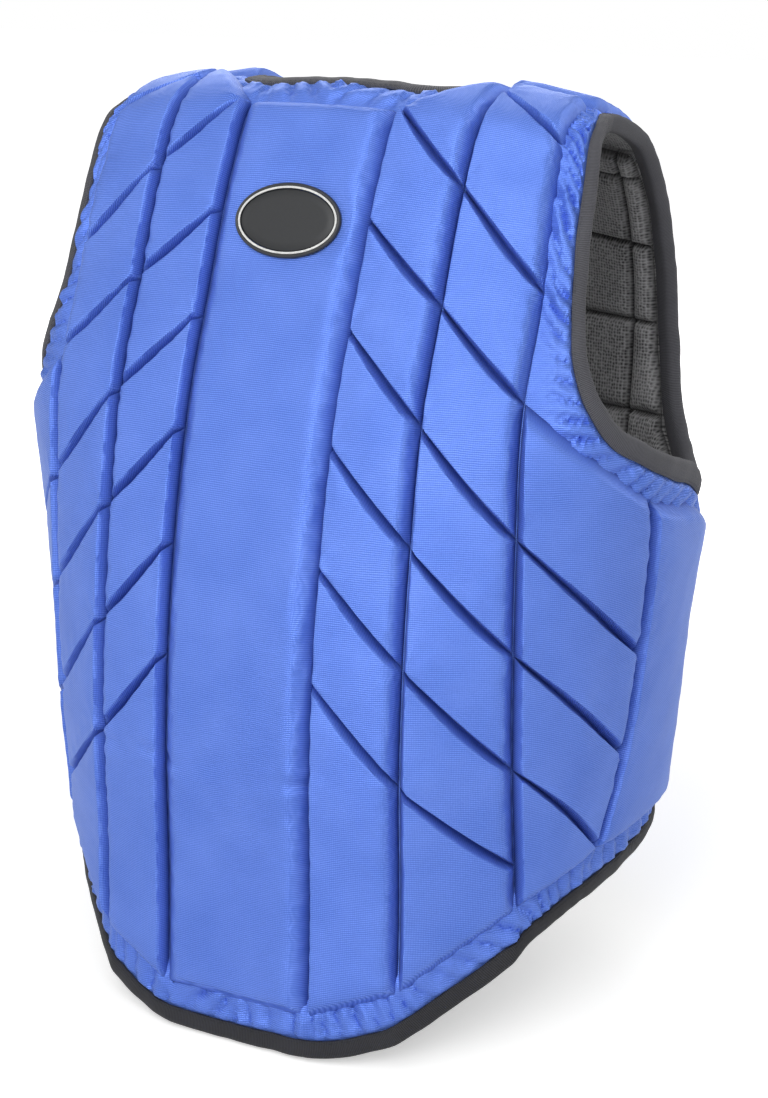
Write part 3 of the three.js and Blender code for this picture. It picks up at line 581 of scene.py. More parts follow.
def block_mesh(outline):
    """Triangulation of one block, with rings of edges that follow its sides."""
    rings = []
    for inset in RING_STEPS:
        ring = outline
        for a, b in sides_of(outline):
            side = left_of(a, b)
            ring = keep_where(ring, lambda p: side(p) - inset)
        if len(ring) > 2:
            rings.append(sampled(ring, BLOCK_STEP if inset < COARSE_INSET else 2 * BLOCK_STEP))
    return triangulated(sampled(outline, BLOCK_STEP), rings, [])


def column_heights(parts, border, blocks, crown, seed):
    """The points and faces of a column, its heights, and where its nearest wall is upright."""
    points, faces, sources = merged(parts)
    top, upright = np.zeros(len(points)), np.zeros(len(points))
    for number, ((part_points, _), block) in enumerate(zip(parts, blocks)):
        height, wall_upright = block_height(part_points, block, border, crown, seed + 7 * number)
        height = height + pucker(part_points, block, seed + 31 * number)
        lookup = {merge_key(p): k for k, p in enumerate(part_points)}
        own = np.nonzero(sources == number)[0]
        rows = [lookup[merge_key(points[k])] for k in own]
        top[own] = height[rows]
        upright[own] = wall_upright[rows]
    return points, faces, top, upright


def crease(u, v, line, seed):
    """Height of a crease across a column: a furrow with a low swelling on each side."""
    away = (v - line - CREASE_DRIFT * wander(u, CREASE_DRIFT_SIZE, seed)) / CREASE_WIDTH
    furrow = -CREASE_DEPTH * np.exp(-away ** 2)
    return furrow + 0.5 * CREASE_DEPTH * np.exp(-(np.abs(away) - CREASE_SHOULDER) ** 2)


def pad_piece(node, border, blocks, side, crown=CROWN, seed=0):
    """The blocks of one column as one piece, in place of its CAD node."""
    parts = [block_mesh(block) for block in blocks]
    points, faces, top, upright = column_heights(parts, border, blocks, crown, seed)
    raised = np.clip((top - GROOVE_FLOOR) / PAD_HEIGHT, 0, 1)
    u, v = points[:, 0] * side, points[:, 1]
    top = top + BROAD_WAVE * ripple(u, v, BROAD_SIZE, seed + 5) * raised
    top = top + FINE_WAVE * ripple(u, v, FINE_SIZE, seed + 6)
    if node in CREASE_LINES:
        top = top + crease(u, v, CREASE_LINES[node], seed + 8)
    if node == "spine_pad":
        top = pressed_by_badge(u, v, top)
    top = np.maximum(top, GROOVE_FLOOR)
    flat = points * np.array([side, 1])
    # The map follows the cloth down its walls, so that the weave isn't stretched there
    drop = np.maximum(PAD_HEIGHT - top, 0)
    chart = flat + np.stack([drop * upright, drop * (1 - upright)], axis=1)
    body = body_of_node(node)
    piece = shell(f"{node}_quilted", flat, faces, top, LAYER_GAP, PAD_CLOTH, body, chart)
    # The depth paints shade into the cloth's colour down in the grooves
    mark_shade_depth(piece, drop / PAD_HEIGHT)
    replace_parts(piece, node)
    return piece


def mark_shade_depth(piece, depth):
    """How deep the cloth lies, from 0 to 1, for the first points of a piece; the rest are deepest. The
    material paints shade by it.
    """
    values = np.ones(len(piece.data.vertices))
    values[:len(depth)] = np.clip(depth, 0, 1)
    piece.data.attributes.new("depth", "FLOAT", "POINT").data.foreach_set("value", values)


def body_of_node(node):
    """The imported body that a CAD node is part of."""
    bodies = frame["record"]["behaviour"]["bodies"]
    return next(body for body, names in bodies.items() if node in names)


# Materials

# Painted shade: how steeply with depth, and how far, the cloth's colour darkens in grooves
DEPTH_POWER = 2.6
DEPTH_SHADE = 0.9
BUMP_STRENGTH = 0.6
# Sizes, in metres, of what makes the cloth's colour uneven, and the shares of its weave, patches and grain
DRIFT_SIZE, CLOUD_SIZE, GRAIN_SIZE = 0.03, 0.04, 0.0012
WEAVE_SHARE, CLOUD_SHARE, GRAIN_SHARE = 0.6, 0.4, 0.25
DRIFT_PITCHES = 2.5
THREAD_SHARE = 0.4


def nodes_of(name):
    """A new material, its node tree and its shader."""
    material = bpy.data.materials.new(name)
    material.use_nodes = True
    tree = material.node_tree
    shader = tree.nodes["Principled BSDF"]
    return material, tree, shader


def set_sockets(node, values):
    for name, value in values.items():
        node.inputs[name].default_value = value


def math_node(tree, operation, *values):
    """Output of a math node on numbers or other nodes' outputs."""
    node = tree.nodes.new("ShaderNodeMath")
    node.operation = operation
    for socket, value in zip(node.inputs, values):
        if isinstance(value, (int, float)):
            socket.default_value = value
        else:
            tree.links.new(value, socket)
    return node.outputs[0]


def stripes(tree, coordinate, pitch):
    """A wave from 0 to 1 along a coordinate in metres."""
    turned_by = math_node(tree, "MULTIPLY", coordinate, math.tau / pitch)
    return math_node(tree, "MULTIPLY_ADD", math_node(tree, "SINE", turned_by), 0.5, 0.5)


def noise(tree, vector, size, detail=3.0):
    node = tree.nodes.new("ShaderNodeTexNoise")
    set_sockets(node, {"Scale": 1 / size, "Detail": detail})
    tree.links.new(vector, node.inputs["Vector"])
    return node.outputs["Fac"]


def bump(tree, shader, height, depth):
    node = tree.nodes.new("ShaderNodeBump")
    set_sockets(node, {"Distance": depth, "Strength": BUMP_STRENGTH})
    tree.links.new(height, node.inputs["Height"])
    tree.links.new(node.outputs["Normal"], shader.inputs["Normal"])


def pattern_axes(tree):
    """The pattern map and its two axes, in metres."""
    pattern = tree.nodes.new("ShaderNodeUVMap")
    pattern.uv_map = "pattern"
    apart = tree.nodes.new("ShaderNodeSeparateXYZ")
    tree.links.new(pattern.outputs["UV"], apart.inputs[0])
    return pattern.outputs["UV"], apart.outputs["X"], apart.outputs["Y"]


def ramp(tree, factor, low, high, colours):
    node = tree.nodes.new("ShaderNodeValToRGB")
    for element, position, colour in zip(node.color_ramp.elements, (low, high), colours):
        element.position = position
        element.color = (*colour, 1)
    tree.links.new(factor, node.inputs["Fac"])
    return node.outputs["Color"]


def shade_painted_by_depth(tree, colour, painted_shade):
    """The colour darkened by the depth attribute towards a shade colour: painted shade down in grooves and
    sewn furrows, where shade falls.
    """
    depth = tree.nodes.new("ShaderNodeAttribute")
    depth.attribute_name = "depth"
    share = math_node(tree, "POWER", depth.outputs["Fac"], DEPTH_POWER)
    mix = tree.nodes.new("ShaderNodeMix")
    mix.data_type = "RGBA"
    tree.links.new(math_node(tree, "MULTIPLY", share, DEPTH_SHADE), mix.inputs["Factor"])
    tree.links.new(colour, mix.inputs["A"])
    mix.inputs["B"].default_value = (*painted_shade, 1)
    return mix.outputs["Result"]


def srgb(*values):
    """Linear colour of an sRGB colour given from 0 to 255."""
    shares = [value / 255 for value in values]
    return tuple(s / 12.92 if s <= 0.04045 else ((s + 0.055) / 1.055) ** 2.4 for s in shares)


def woven(name, dark, light, pitch, roughness, depth, cross=1.0, tint=(1, 1, 1), satin=0, painted_shade=None):
    """Cloth with ribs along the pattern's u and threads along its v, uneven in colour; given a shade colour,
    it gets painted shade down in its grooves.
    """
    material, tree, shader = nodes_of(name)
    pattern, u, v = pattern_axes(tree)
    drift = math_node(tree, "MULTIPLY", noise(tree, pattern, DRIFT_SIZE), DRIFT_PITCHES * pitch)
    ribs = stripes(tree, math_node(tree, "ADD", v, drift), pitch)
    threads = stripes(tree, math_node(tree, "ADD", u, drift), pitch * cross)
    crossed = math_node(tree, "MULTIPLY_ADD", threads, THREAD_SHARE, 1 - THREAD_SHARE)
    weave = math_node(tree, "MULTIPLY", ribs, crossed)
    cloudy = math_node(tree, "MULTIPLY", noise(tree, pattern, CLOUD_SIZE), CLOUD_SHARE)
    grain = math_node(tree, "MULTIPLY", noise(tree, pattern, GRAIN_SIZE, 2.0), GRAIN_SHARE)
    woven_shade = math_node(tree, "MULTIPLY", weave, WEAVE_SHARE)
    shade = math_node(tree, "ADD", woven_shade, math_node(tree, "ADD", cloudy, grain))
    colour = ramp(tree, shade, 0.2, 1.0, (dark, light))
    # Painted shade: the colour darkens down in the grooves, where shade falls
    if painted_shade:
        colour = shade_painted_by_depth(tree, colour, painted_shade)
    tree.links.new(colour, shader.inputs["Base Color"])
    gloss = math_node(tree, "MULTIPLY_ADD", weave, -0.12, roughness + 0.06)
    tree.links.new(gloss, shader.inputs["Roughness"])
    bump(tree, shader, weave, depth)
    set_sockets(shader, {"Metallic": satin, "Specular IOR Level": 0.28, "Specular Tint": (*tint, 1),
                         "Sheen Weight": 0.06, "Sheen Roughness": 0.4, "Sheen Tint": (*tint, 1)})
    return material


def spacer_mesh(name, dark, light, pitch):
    """Knitted air mesh: rows of small holes between soft yarns."""
    material, tree, shader = nodes_of(name)
    pattern, _, _ = pattern_axes(tree)
    cells = tree.nodes.new("ShaderNodeTexVoronoi")
    set_sockets(cells, {"Scale": 1 / pitch, "Randomness": 0.35})
    tree.links.new(pattern, cells.inputs["Vector"])
    yarn = math_node(tree, "MULTIPLY", cells.outputs["Distance"], 1.5)
    cloudy = math_node(tree, "MULTIPLY", noise(tree, pattern, 0.03), 0.5)
    shade = math_node(tree, "MULTIPLY_ADD", yarn, 0.8, cloudy)
    # Painted shade: the mesh darkens to near black where the padding thins at its sewn lines
    colour = shade_painted_by_depth(tree, ramp(tree, shade, 0.35, 1.1, (dark, light)), srgb(6, 6, 7))
    tree.links.new(colour, shader.inputs["Base Color"])
    bump(tree, shader, yarn, pitch * 0.5)
    set_sockets(shader, {"Roughness": 0.9, "Sheen Weight": 0.3})
    return material


BLUE_SHEEN = (0.6, 0.75, 1)
# Painted shade: the dark blue that the pad cloth is painted down in its grooves
PAINTED_GROOVE_SHADE = srgb(14, 34, 122)
PAD_CLOTH = woven("pad_cloth", srgb(70, 106, 200), srgb(124, 156, 246), 0.0011, 0.38, 0.0003,
                  tint=BLUE_SHEEN, satin=0.3, painted_shade=PAINTED_GROOVE_SHADE)
COVER_CLOTH = woven("cover_cloth", srgb(70, 106, 200), srgb(122, 154, 244), 0.0011, 0.34, 0.0003,
                    tint=BLUE_SHEEN, satin=0.35)
MESH_CLOTH = spacer_mesh("mesh_cloth", srgb(40, 40, 42), srgb(158, 158, 160), 0.0022)
EDGE_TAPE = woven("edge_tape", srgb(54, 54, 58), srgb(96, 96, 102), 0.001, 0.72, 0.0003, 40)
HEM_TAPE = woven("hem_tape", srgb(28, 28, 30), srgb(60, 60, 64), 0.001, 0.72, 0.0003, 40)
HOOK_CLOTH = woven("hook_cloth", srgb(14, 14, 16), srgb(42, 42, 46), 0.0014, 0.9, 0.0008)
ZIP_CLOTH = woven("zip_cloth", srgb(22, 22, 25), srgb(48, 48, 52), 0.0008, 0.7, 0.0002)


def moulded(name, colour, roughness, metallic=0.0):
    """Plastic or metal with a fine uneven gloss."""
    material, tree, shader = nodes_of(name)
    where = tree.nodes.new("ShaderNodeTexCoord").outputs["Object"]
    grain = noise(tree, where, 0.0015, 4.0)
    darker = tuple(c * 0.75 for c in colour)
    tree.links.new(ramp(tree, grain, 0.3, 0.7, (darker, colour)), shader.inputs["Base Color"])
    gloss = math_node(tree, "MULTIPLY_ADD", grain, 0.2, roughness - 0.1)
    tree.links.new(gloss, shader.inputs["Roughness"])
    shader.inputs["Metallic"].default_value = metallic
    bump(tree, shader, grain, 0.00008)
    return material


BADGE_PLASTIC = moulded("badge_plastic", srgb(30, 32, 35), 0.5)
RIM_PLASTIC = moulded("rim_plastic", srgb(46, 47, 50), 0.4)
LINE_PLASTIC = moulded("line_plastic", srgb(226, 226, 224), 0.45)
ZIP_PLASTIC = moulded("zip_plastic", srgb(38, 38, 42), 0.4)
ZIP_METAL = moulded("zip_metal", srgb(70, 70, 74), 0.35, 0.9)


# Badge: an oval plate in a rim, on the seat that the part gives it

BADGE = next(mount for mount in frame["record"]["mounts"] if mount["name"] == "badge_face")
BADGE_HALF = (32, 20.5)
PLATE_THICKNESS = 1.6
RIM_WIDTH = 3.2
RIM_THICKNESS = 2.4
RIM_SHELF = 1.7
OVAL_POINTS = 96
# The spine pad is level this far under the badge, and out to this many times its half sizes
BADGE_BED = 0.35
BED_EDGE = 1.45
BED_FADE = 0.4


def badge_axes():
    """Foot of the badge on the spine pad, in metres, and the directions across, up and out."""
    out = np.array(BADGE["axis"], float)
    out /= np.linalg.norm(out)
    across = np.array([-1.0, 0, 0])
    foot = np.array(BADGE["pos_m"], float) - out * PLATE_THICKNESS * MM
    return foot, across, np.cross(out, across), out


def pressed_by_badge(u, v, top):
    """Heights of the spine pad, level under the badge."""
    foot, across, up, out = badge_axes()
    away = place(u, v, top) - foot
    reach = np.hypot(away @ across / BADGE_HALF[0], away @ up / BADGE_HALF[1]) / MM
    window = np.clip((BED_EDGE - reach) / BED_FADE, 0, 1)
    window = window * window * (3 - 2 * window)
    return top - np.maximum(away @ out / MM + BADGE_BED, 0) * window


def oval_piece(name, profile, material, plate=False):
    """Closed oval ring, or a plate, from a profile of inset and height in millimetres."""
    foot, across, up, out = badge_axes()
    turns = np.arange(OVAL_POINTS) * math.tau / OVAL_POINTS
    rings = []
    for inset, height in profile:
        x, y = (BADGE_HALF[0] - inset) * np.cos(turns), (BADGE_HALF[1] - inset) * np.sin(turns)
        rings.append(foot + (np.outer(x, across) + np.outer(y, up) + height * out) * MM)
    last = (len(rings) - 1) * OVAL_POINTS
    ends = [tuple(range(OVAL_POINTS)), tuple(range(last, last + OVAL_POINTS))] if plate else []
    faces = ends + tube_faces(len(rings), OVAL_POINTS, closed=not plate)
    places = np.concatenate(rings)
    chart = np.stack([(places - foot) @ across, (places - foot) @ up], axis=1) / MM
    return add_mesh(name, places, faces, chart, material, "back")


def badge():
    edge, high, shelf = RIM_WIDTH + LAYER_GAP, PLATE_THICKNESS, RIM_SHELF
    rim = [(0, 0), (-0.2, 0.5), (0, 1.5), (0.5, 2.15), (1.05, RIM_THICKNESS), (1.5, 2.15), (1.8, shelf),
           (RIM_WIDTH, shelf), (RIM_WIDTH, 0)]
    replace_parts(oval_piece("badge_rim_moulded", rim, RIM_PLASTIC), "badge_rim")
    plate = [(edge, 0), (edge, 1.2), (edge + 0.4, high), (edge + 5, high + 0.15), (edge + 10, high + 0.25)]
    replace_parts(oval_piece("badge_plate_moulded", plate, BADGE_PLASTIC, plate=True), "badge_plate")
    line = [(1.9, shelf - 0.1), (1.95, shelf + 0.25), (2.5, shelf + 0.35), (3.05, shelf + 0.25),
            (3.1, shelf - 0.1)]
    oval_piece("badge_line", line, LINE_PLASTIC)


# Back

BACK_GROOVES = {
    "a": [264, 195, 138, 77, 16, -45],
    "b": [292, 219, 156, 91, 29, -35, -100],
    "c": [252, 168, 105, 34, -29, -94, -152],
    "d": [-46, -104, -156],
}
PAD_TOP = RIDGE - 4
SPINE_TOP = PAD_TOP - 55
SPINE_FOOT = TAIL_HEM + 25
COLUMN_FOOT = TAIL_HEM + 43
SIDE_FOOT = SIDE_HEM + 22
HIP_FOOT = SIDE_HEM + 5
SEAM_TOP = ARMHOLE_FLOOR + 10
SIDE_TOP = ARMHOLE_FLOOR - 20


def back_pads():
    spine = [(-LINE_A, SPINE_FOOT), (LINE_A, SPINE_FOOT), (LINE_A, SPINE_TOP), (-LINE_A, SPINE_TOP)]
    spine = between(spine, -LINE_A, LINE_A)
    pad_piece("spine_pad", spine, [spine], 1, seed=400)
    a, b, c, d = (BACK_GROOVES[name] for name in "abcd")
    columns = [
        ("back_inner_pads", LINE_A, LINE_B, a, b[1:], CROWN,
         [(LINE_A, SPINE_FOOT), (LINE_B, COLUMN_FOOT), (LINE_B, PAD_TOP), (LINE_B - 6, PAD_TOP),
          (LINE_A, SPINE_TOP + 1)]),
        ("back_middle_pads", LINE_B, LINE_C, b, c, CROWN,
         [(LINE_B, COLUMN_FOOT), (LINE_C, HIP_FOOT), (LINE_C, ARMHOLE_FLOOR + 134), (LINE_C - 9, PAD_TOP),
          (LINE_B, PAD_TOP)]),
        ("back_outer_pads", LINE_C, LINE_D, c[3:-1], d, CROWN,
         [(LINE_C, HIP_FOOT + 2), (LINE_D, SIDE_FOOT + 3), (LINE_D, SEAM_TOP + 2),
          (LINE_C, ARMHOLE_FLOOR + 70)]),
        ("side_pad", LINE_D, LINE_E, [], [], SIDE_CROWN,
         [(LINE_D, SIDE_FOOT + 3), (LINE_E, SIDE_FOOT), (LINE_E, SIDE_TOP), (LINE_D, SEAM_TOP)]),
    ]
    for number, (name, left, right, starts, ends, crown, outline) in enumerate(columns):
        border = between(outline, left, right)
        blocks = column_blocks(border, left, right, starts, ends)
        for word, side in SIDES:
            pad_piece(f"{name}_{word}", border, blocks, side, crown, 100 * number + 10 * (side + 1))


# Front halves

FRONT_GROOVE = 178
FRONT_PITCH = 60


def front_pads():
    zip_side = ZIP_SIDE - 8
    grooves = [FRONT_GROOVE - FRONT_PITCH * k for k in range(6)]
    lowered = [v - FRONT_PITCH for v in grooves]
    inner_foot, centre_foot = SIDE_FOOT - 5, FRONT_HEM + 24
    zip_ends = [v + FRONT_PITCH * (zip_side - FRONT_B) / (FRONT_B - FRONT_C) for v in lowered]
    outer = lowered[1:-1]
    columns = [
        ("front_inner_pads", FRONT_B, zip_side, lowered[:-1], zip_ends,
         [(FRONT_B, inner_foot), (zip_side, centre_foot), (zip_side, NECK_FLOOR - 20),
          (FRONT_B, grooves[0])], 0),
        ("front_middle_pads", FRONT_C, FRONT_B, [grooves[0], *lowered], [grooves[0] + FRONT_PITCH, *grooves],
         [(FRONT_C, SIDE_FOOT + 3), (FRONT_B, inner_foot), (FRONT_B, grooves[0]), (FRONT_B + 15, PAD_TOP),
          (FRONT_C + 9, PAD_TOP), (FRONT_C, ARMHOLE_FLOOR + 16)], 16),
        ("front_outer_pads", LINE_E, FRONT_C, [v - FRONT_PITCH for v in outer], outer,
         [(LINE_E, SIDE_FOOT), (FRONT_C, SIDE_FOOT + 3), (FRONT_C, ARMHOLE_FLOOR + 16),
          (LINE_E, ARMHOLE_FLOOR - 28)], 0),
    ]
    for number, (name, left, right, starts, ends, outline, overhang) in enumerate(columns):
        border = between(outline, left, right + overhang)
        blocks = column_blocks(border, left, right, starts, ends)
        for word, side in SIDES:
            seed = 1000 + 100 * number + 10 * (side + 1)
            pad_piece(f"{name}_{word}", border, blocks, side, CROWN, seed)


# Cover and lining

# Where the gathers beside a tape begin and end, and how they rise and fade there
WRINKLE_START = 11.6
HEM_WRINKLE_START = 9.7
WRINKLE_END = 38
WRINKLE_RISE = 3
WRINKLE_FADE = 12
PUFF_BASE = 0.5
PUFF_HEIGHT = 3.9
PUFF_RIPPLE = 0.7
EDGE_STEP = 1.9
FOLD_PITCH = 12
ARM_FOLD_SLANT = -0.9
HEM_FOLD_SLANT = 0.25
CLOTH_MARGIN = 3
CLOTH_STEP = 9


def back_outline(margin):
    hem = cut(offset_path(HEM_EDGE, margin), 0, BACK_SIDE, True)
    arm = cut(cut(offset_path(ARMHOLE, margin), 0, BACK_SIDE, True), 1, SHOULDER_TOP, True)
    neck = cut(offset_path(NECK_BACK, margin), 1, SHOULDER_TOP, True)
    half = np.concatenate([hem, arm, neck])
    return thinned(np.concatenate([half, half[::-1] * MIRROR]))


def front_outline(margin, zip_side):
    hem = cut(cut(offset_path(HEM_EDGE, margin), 0, FRONT_SIDE, False), 0, zip_side, True)
    neck = cut(cut(offset_path(NECK_FRONT, margin), 0, zip_side, True), 1, SHOULDER_TOP, True)
    arm = cut(cut(offset_path(ARMHOLE, margin), 0, FRONT_SIDE, False), 1, SHOULDER_TOP, True)
    return thinned(np.concatenate([hem, neck, arm]))


def thinned(outline):
    """Drops points that lie on the one before them."""
    apart = np.linalg.norm(outline - np.roll(outline, 1, axis=0), axis=1)
    return outline[apart > 0.05]


RUN_GAP = 200
BATCH = 2000


def edges_of(paths):
    """Samples of the cloth's edges with the run along them."""
    samples, runs, start = [], [], 0.0
    for path in paths:
        run = run_along(path)
        samples.append(path)
        runs.append(run + start)
        start += run[-1] + RUN_GAP
    return np.concatenate(samples), np.concatenate(runs)


def from_edge(points, samples, runs):
    """Distance from the nearest edge and the run along it, for each point."""
    distance, run = np.zeros(len(points)), np.zeros(len(points))
    for start in range(0, len(points), BATCH):
        apart = np.linalg.norm(points[start:start + BATCH, None] - samples[None], axis=2)
        nearest = apart.argmin(axis=1)
        distance[start:start + BATCH] = apart[np.arange(len(apart)), nearest]
        run[start:start + BATCH] = runs[nearest]
    return distance, run


def clearance(points, samples):
    """Distance from the nearest sample of an edge, for each point."""
    return from_edge(points, samples, np.zeros(len(samples)))[0]


def staggered(low, high, step):
    """Places of a grid over a box, each second row moved along by half a step."""
    u, v = np.meshgrid(np.arange(low[0], high[0], step), np.arange(low[1], high[1], step))
    u = u + (np.arange(len(v)) % 2)[:, None] * step / 2
    return np.stack([u.ravel(), v.ravel()], axis=1)


def filled(outline, samples, fine, coarse, reach):
    """Triangulation of a big outline, fine near the cloth's edges and coarse elsewhere."""
    low, high = outline.min(axis=0), outline.max(axis=0)
    close, wide = staggered(low, high, fine), staggered(low, high, coarse)
    close = close[(clearance(close, samples) < reach) & (clearance(close, outline) > fine * 0.6)]
    wide = wide[(clearance(wide, samples) >= reach + fine) & (clearance(wide, outline) > fine)]
    return triangulated([tuple(p) for p in outline], [], [*map(tuple, close), *map(tuple, wide)])


def gathers(distance, run, at_hem, seed):
    """Height of the gathered cloth beside an edge tape: slanted puffs with creases between them."""
    begin = np.where(at_hem, HEM_WRINKLE_START, WRINKLE_START)
    window = np.clip((distance - begin) / WRINKLE_RISE, 0, 1)
    window = window * np.clip((WRINKLE_END - distance) / WRINKLE_FADE, 0, 1)
    slant = np.where(at_hem, HEM_FOLD_SLANT, ARM_FOLD_SLANT) + 0.6 * wander(run, 140, seed + 3)
    turn = math.pi * (run + slant * distance) / FOLD_PITCH + 1.1 * ripple(run, distance, 60, seed)
    puff = np.abs(np.sin(turn)) ** 0.8
    strength = np.clip(0.85 + 0.5 * ripple(run, distance * 0.3, 40, seed + 2), 0.35, 1.3)
    fine = PUFF_RIPPLE * ripple(run, distance, 16, seed + 1)
    return window * (PUFF_BASE + PUFF_HEIGHT * strength * puff + fine)


def cloth_piece(node, outline, side, paths, heights, material, wrinkled):
    """A sheet between two heights in place of its CAD node, gathered beside its tapes if wrinkled."""
    samples, runs = edges_of(paths)
    points, faces = filled(outline, samples, EDGE_STEP, CLOTH_STEP, WRINKLE_END if wrinkled else 2)
    distance, run = from_edge(points, samples, runs)
    top = np.full(len(points), heights[0])
    if wrinkled:
        at_hem = clearance(points, np.concatenate([HEM_EDGE, HEM_EDGE * MIRROR])) <= distance + 0.01
        # The folds flatten towards the side seam, which leaves room for the front's swing
        from_seam = np.clip(np.abs(np.abs(points[:, 0]) - LINE_E) / SEAM_NEAR, 0, 1)
        top = top + from_seam * gathers(distance, run + 1000 * (points[:, 0] < 0), at_hem, 7 + side)
    flipped = points * np.array([side, 1])
    piece = shell(f"{node}_sewn", flipped, faces, top, heights[1], material, body_of_node(node))
    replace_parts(piece, node)
    return piece


def covers_and_linings():
    paths = [HEM_EDGE, ARMHOLE, NECK_BACK]
    paths += [path * MIRROR for path in paths]
    cover, lining = (0, -CLOTH), (LINING_TOP, LINING_BOTTOM)
    outline = back_outline(CLOTH_MARGIN)
    cloth_piece("back_cover", outline, 1, paths, cover, COVER_CLOTH, True)
    cloth_piece("back_lining", outline, 1, paths, lining, MESH_CLOTH, False)
    front_paths = [HEM_EDGE, NECK_FRONT, ARMHOLE]
    for word, side in SIDES:
        outline = front_outline(CLOTH_MARGIN, ZIP_SIDE)
        cloth_piece(f"front_cover_{word}", outline, side, front_paths, cover, COVER_CLOTH,
                    True)
        outline = front_outline(CLOTH_MARGIN, ZIP_SIDE - 11)
        cloth_piece(f"front_lining_{word}", outline, side, front_paths, lining, MESH_CLOTH,
                    False)


# Edge tapes

# Section of the folded tape: inset from the edge of the cloth and height outside it
TAPE_OUTER = [(12.0, 0.9), (11.7, 2.2), (9.5, 2.7), (6, 3.0), (2.5, 2.8), (0.4, 1.9), (-0.9, 0.1),
              (-1.2, -2.1), (-0.9, -4.6), (0.4, -6.2), (2.5, -6.9), (6, -7.0), (9.5, -6.8), (11.7, -6.3),
              (12.0, -5.2)]
TAPE_INNER = [(9, -5.6), (2.4, -5.4), (0.6, -2.1), (2.4, 1.2), (9, 1.4)]
STITCH_PITCH = 3.4
STITCH_LENGTH = 2.3
STITCH_INSET = 10.2
STITCH_HEIGHT = 2.6
STITCH_RADIUS = 0.22
TAPE_TURN = 2.5
HEM_TAPE_SHARE = 0.8
TAPE_WAVE, TAPE_WAVE_SIZE = 0.35, 26
TAPE_LIFT, TAPE_LIFT_SIZE = 0.25, 13


def stitch_row(path, left, run, lift, inset, first):
    """Short raised threads along the tape: their places, faces and chart."""
    places, faces, chart = [], [], []
    starts = np.arange(STITCH_PITCH, run[-1] - STITCH_PITCH, STITCH_PITCH)
    section = np.array([(0, 1), (0.87, -0.5), (-0.87, -0.5)]) * STITCH_RADIUS
    ends = [(0, 0.3), (0.25, 1), (0.75, 1), (1, 0.3)]
    for start in starts:
        for share, fat in ends:
            at = start + STITCH_LENGTH * share
            centre = np.array([np.interp(at, run, path[:, axis]) for axis in range(2)])
            across = np.array([np.interp(at, run, left[:, axis]) for axis in range(2)])
            raised = STITCH_HEIGHT + np.interp(at, run, lift)
            for sideways, up in section * fat:
                u, v = centre + across * (inset + sideways)
                places.append((u, v, raised + up))
                chart.append((inset, at))
        base = first + len(places) - len(ends) * len(section)
        faces += tube_faces(len(ends), len(section), base)
        faces += [(base, base + 1, base + 2), (base + 9, base + 10, base + 11)]
    flat = np.array(places)
    return place(flat[:, 0], flat[:, 1], flat[:, 2]), faces, np.array(chart)


def tape_piece(node, path, side, material, seed, share=1):
    """Tape folded over an edge of the cloth; share narrows what lies past its turn."""
    profile = np.array(TAPE_OUTER + TAPE_INNER)
    profile[:, 0] -= (1 - share) * np.maximum(profile[:, 0] - TAPE_TURN, 0)
    inset = STITCH_INSET - (1 - share) * (STITCH_INSET - TAPE_TURN)
    flat = path * np.array([side, 1])
    left = left_normals(path) * np.array([side, 1])
    run = run_along(path)
    wave = TAPE_WAVE * wander(run, TAPE_WAVE_SIZE, seed)
    count = len(profile)
    uv = flat[:, None] + left[:, None] * (profile[None, :, :1] + wave[:, None, None])
    lift = TAPE_LIFT * wander(run, TAPE_LIFT_SIZE, seed + 1)
    height = profile[None, :, 1] + lift[:, None] * (profile[None, :, 1] > 0)
    places = place(uv[..., 0], uv[..., 1], height).reshape(-1, 3)
    faces = tube_faces(len(path), count)
    faces.append(tuple(range(count)))
    faces.append(tuple((len(path) - 1) * count + k for k in range(count)))
    spread = np.cumsum(np.concatenate([[0], np.linalg.norm(np.diff(profile, axis=0), axis=1)]))
    chart = np.stack(np.broadcast_arrays(spread[None, :], run[:, None]), axis=-1).reshape(-1, 2)
    stitches = stitch_row(flat, left, run, lift, inset, len(places))
    places = np.concatenate([places, stitches[0]])
    faces += stitches[1]
    chart = np.concatenate([chart, stitches[2]])
    piece = add_mesh(f"{node}_folded", places, faces, chart, material, body_of_node(node))
    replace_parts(piece, node)
    return piece


def tapes():
    hem = cut(HEM_EDGE, 0, BACK_SIDE, True)
    hem_round = np.concatenate([(hem * MIRROR)[:0:-1], hem])
    tape_piece("back_hem_binding", hem_round, 1, HEM_TAPE, 1, HEM_TAPE_SHARE)
    neck = cut(NECK_BACK, 1, SHOULDER_TOP, True)
    neck_round = np.concatenate([neck[:-1], (neck * MIRROR)[::-1]])
    tape_piece("back_neck_binding", neck_round, 1, EDGE_TAPE, 2)
    arm = cut(ARMHOLE, 1, SHOULDER_TOP, True)
    back_arm, front_arm = cut(arm, 0, BACK_SIDE, True), cut(arm, 0, FRONT_SIDE, False)
    front_hem = cut(cut(HEM_EDGE, 0, FRONT_SIDE, False), 0, ZIP_SIDE, True)
    front_neck = cut(cut(NECK_FRONT, 0, ZIP_SIDE, True), 1, SHOULDER_TOP, True)
    for word, side in SIDES:
        tape_piece(f"back_armhole_binding_{word}", back_arm, side, EDGE_TAPE, 3 + side)
        tape_piece(f"front_armhole_binding_{word}", front_arm, side, EDGE_TAPE, 7 + side)
        tape_piece(f"front_hem_binding_{word}", front_hem, side, HEM_TAPE, 11 + side,
                   HEM_TAPE_SHARE)
        tape_piece(f"front_neck_binding_{word}", front_neck, side, EDGE_TAPE, 15 + side)


# Inner padding

PADDING_COLUMN = 54
PADDING_ROW = 57
PADDING_ROUND = 9
PADDING_LEAST = 2.2
PADDING_STEP = 3
PADDING_CLEAR = 1.6


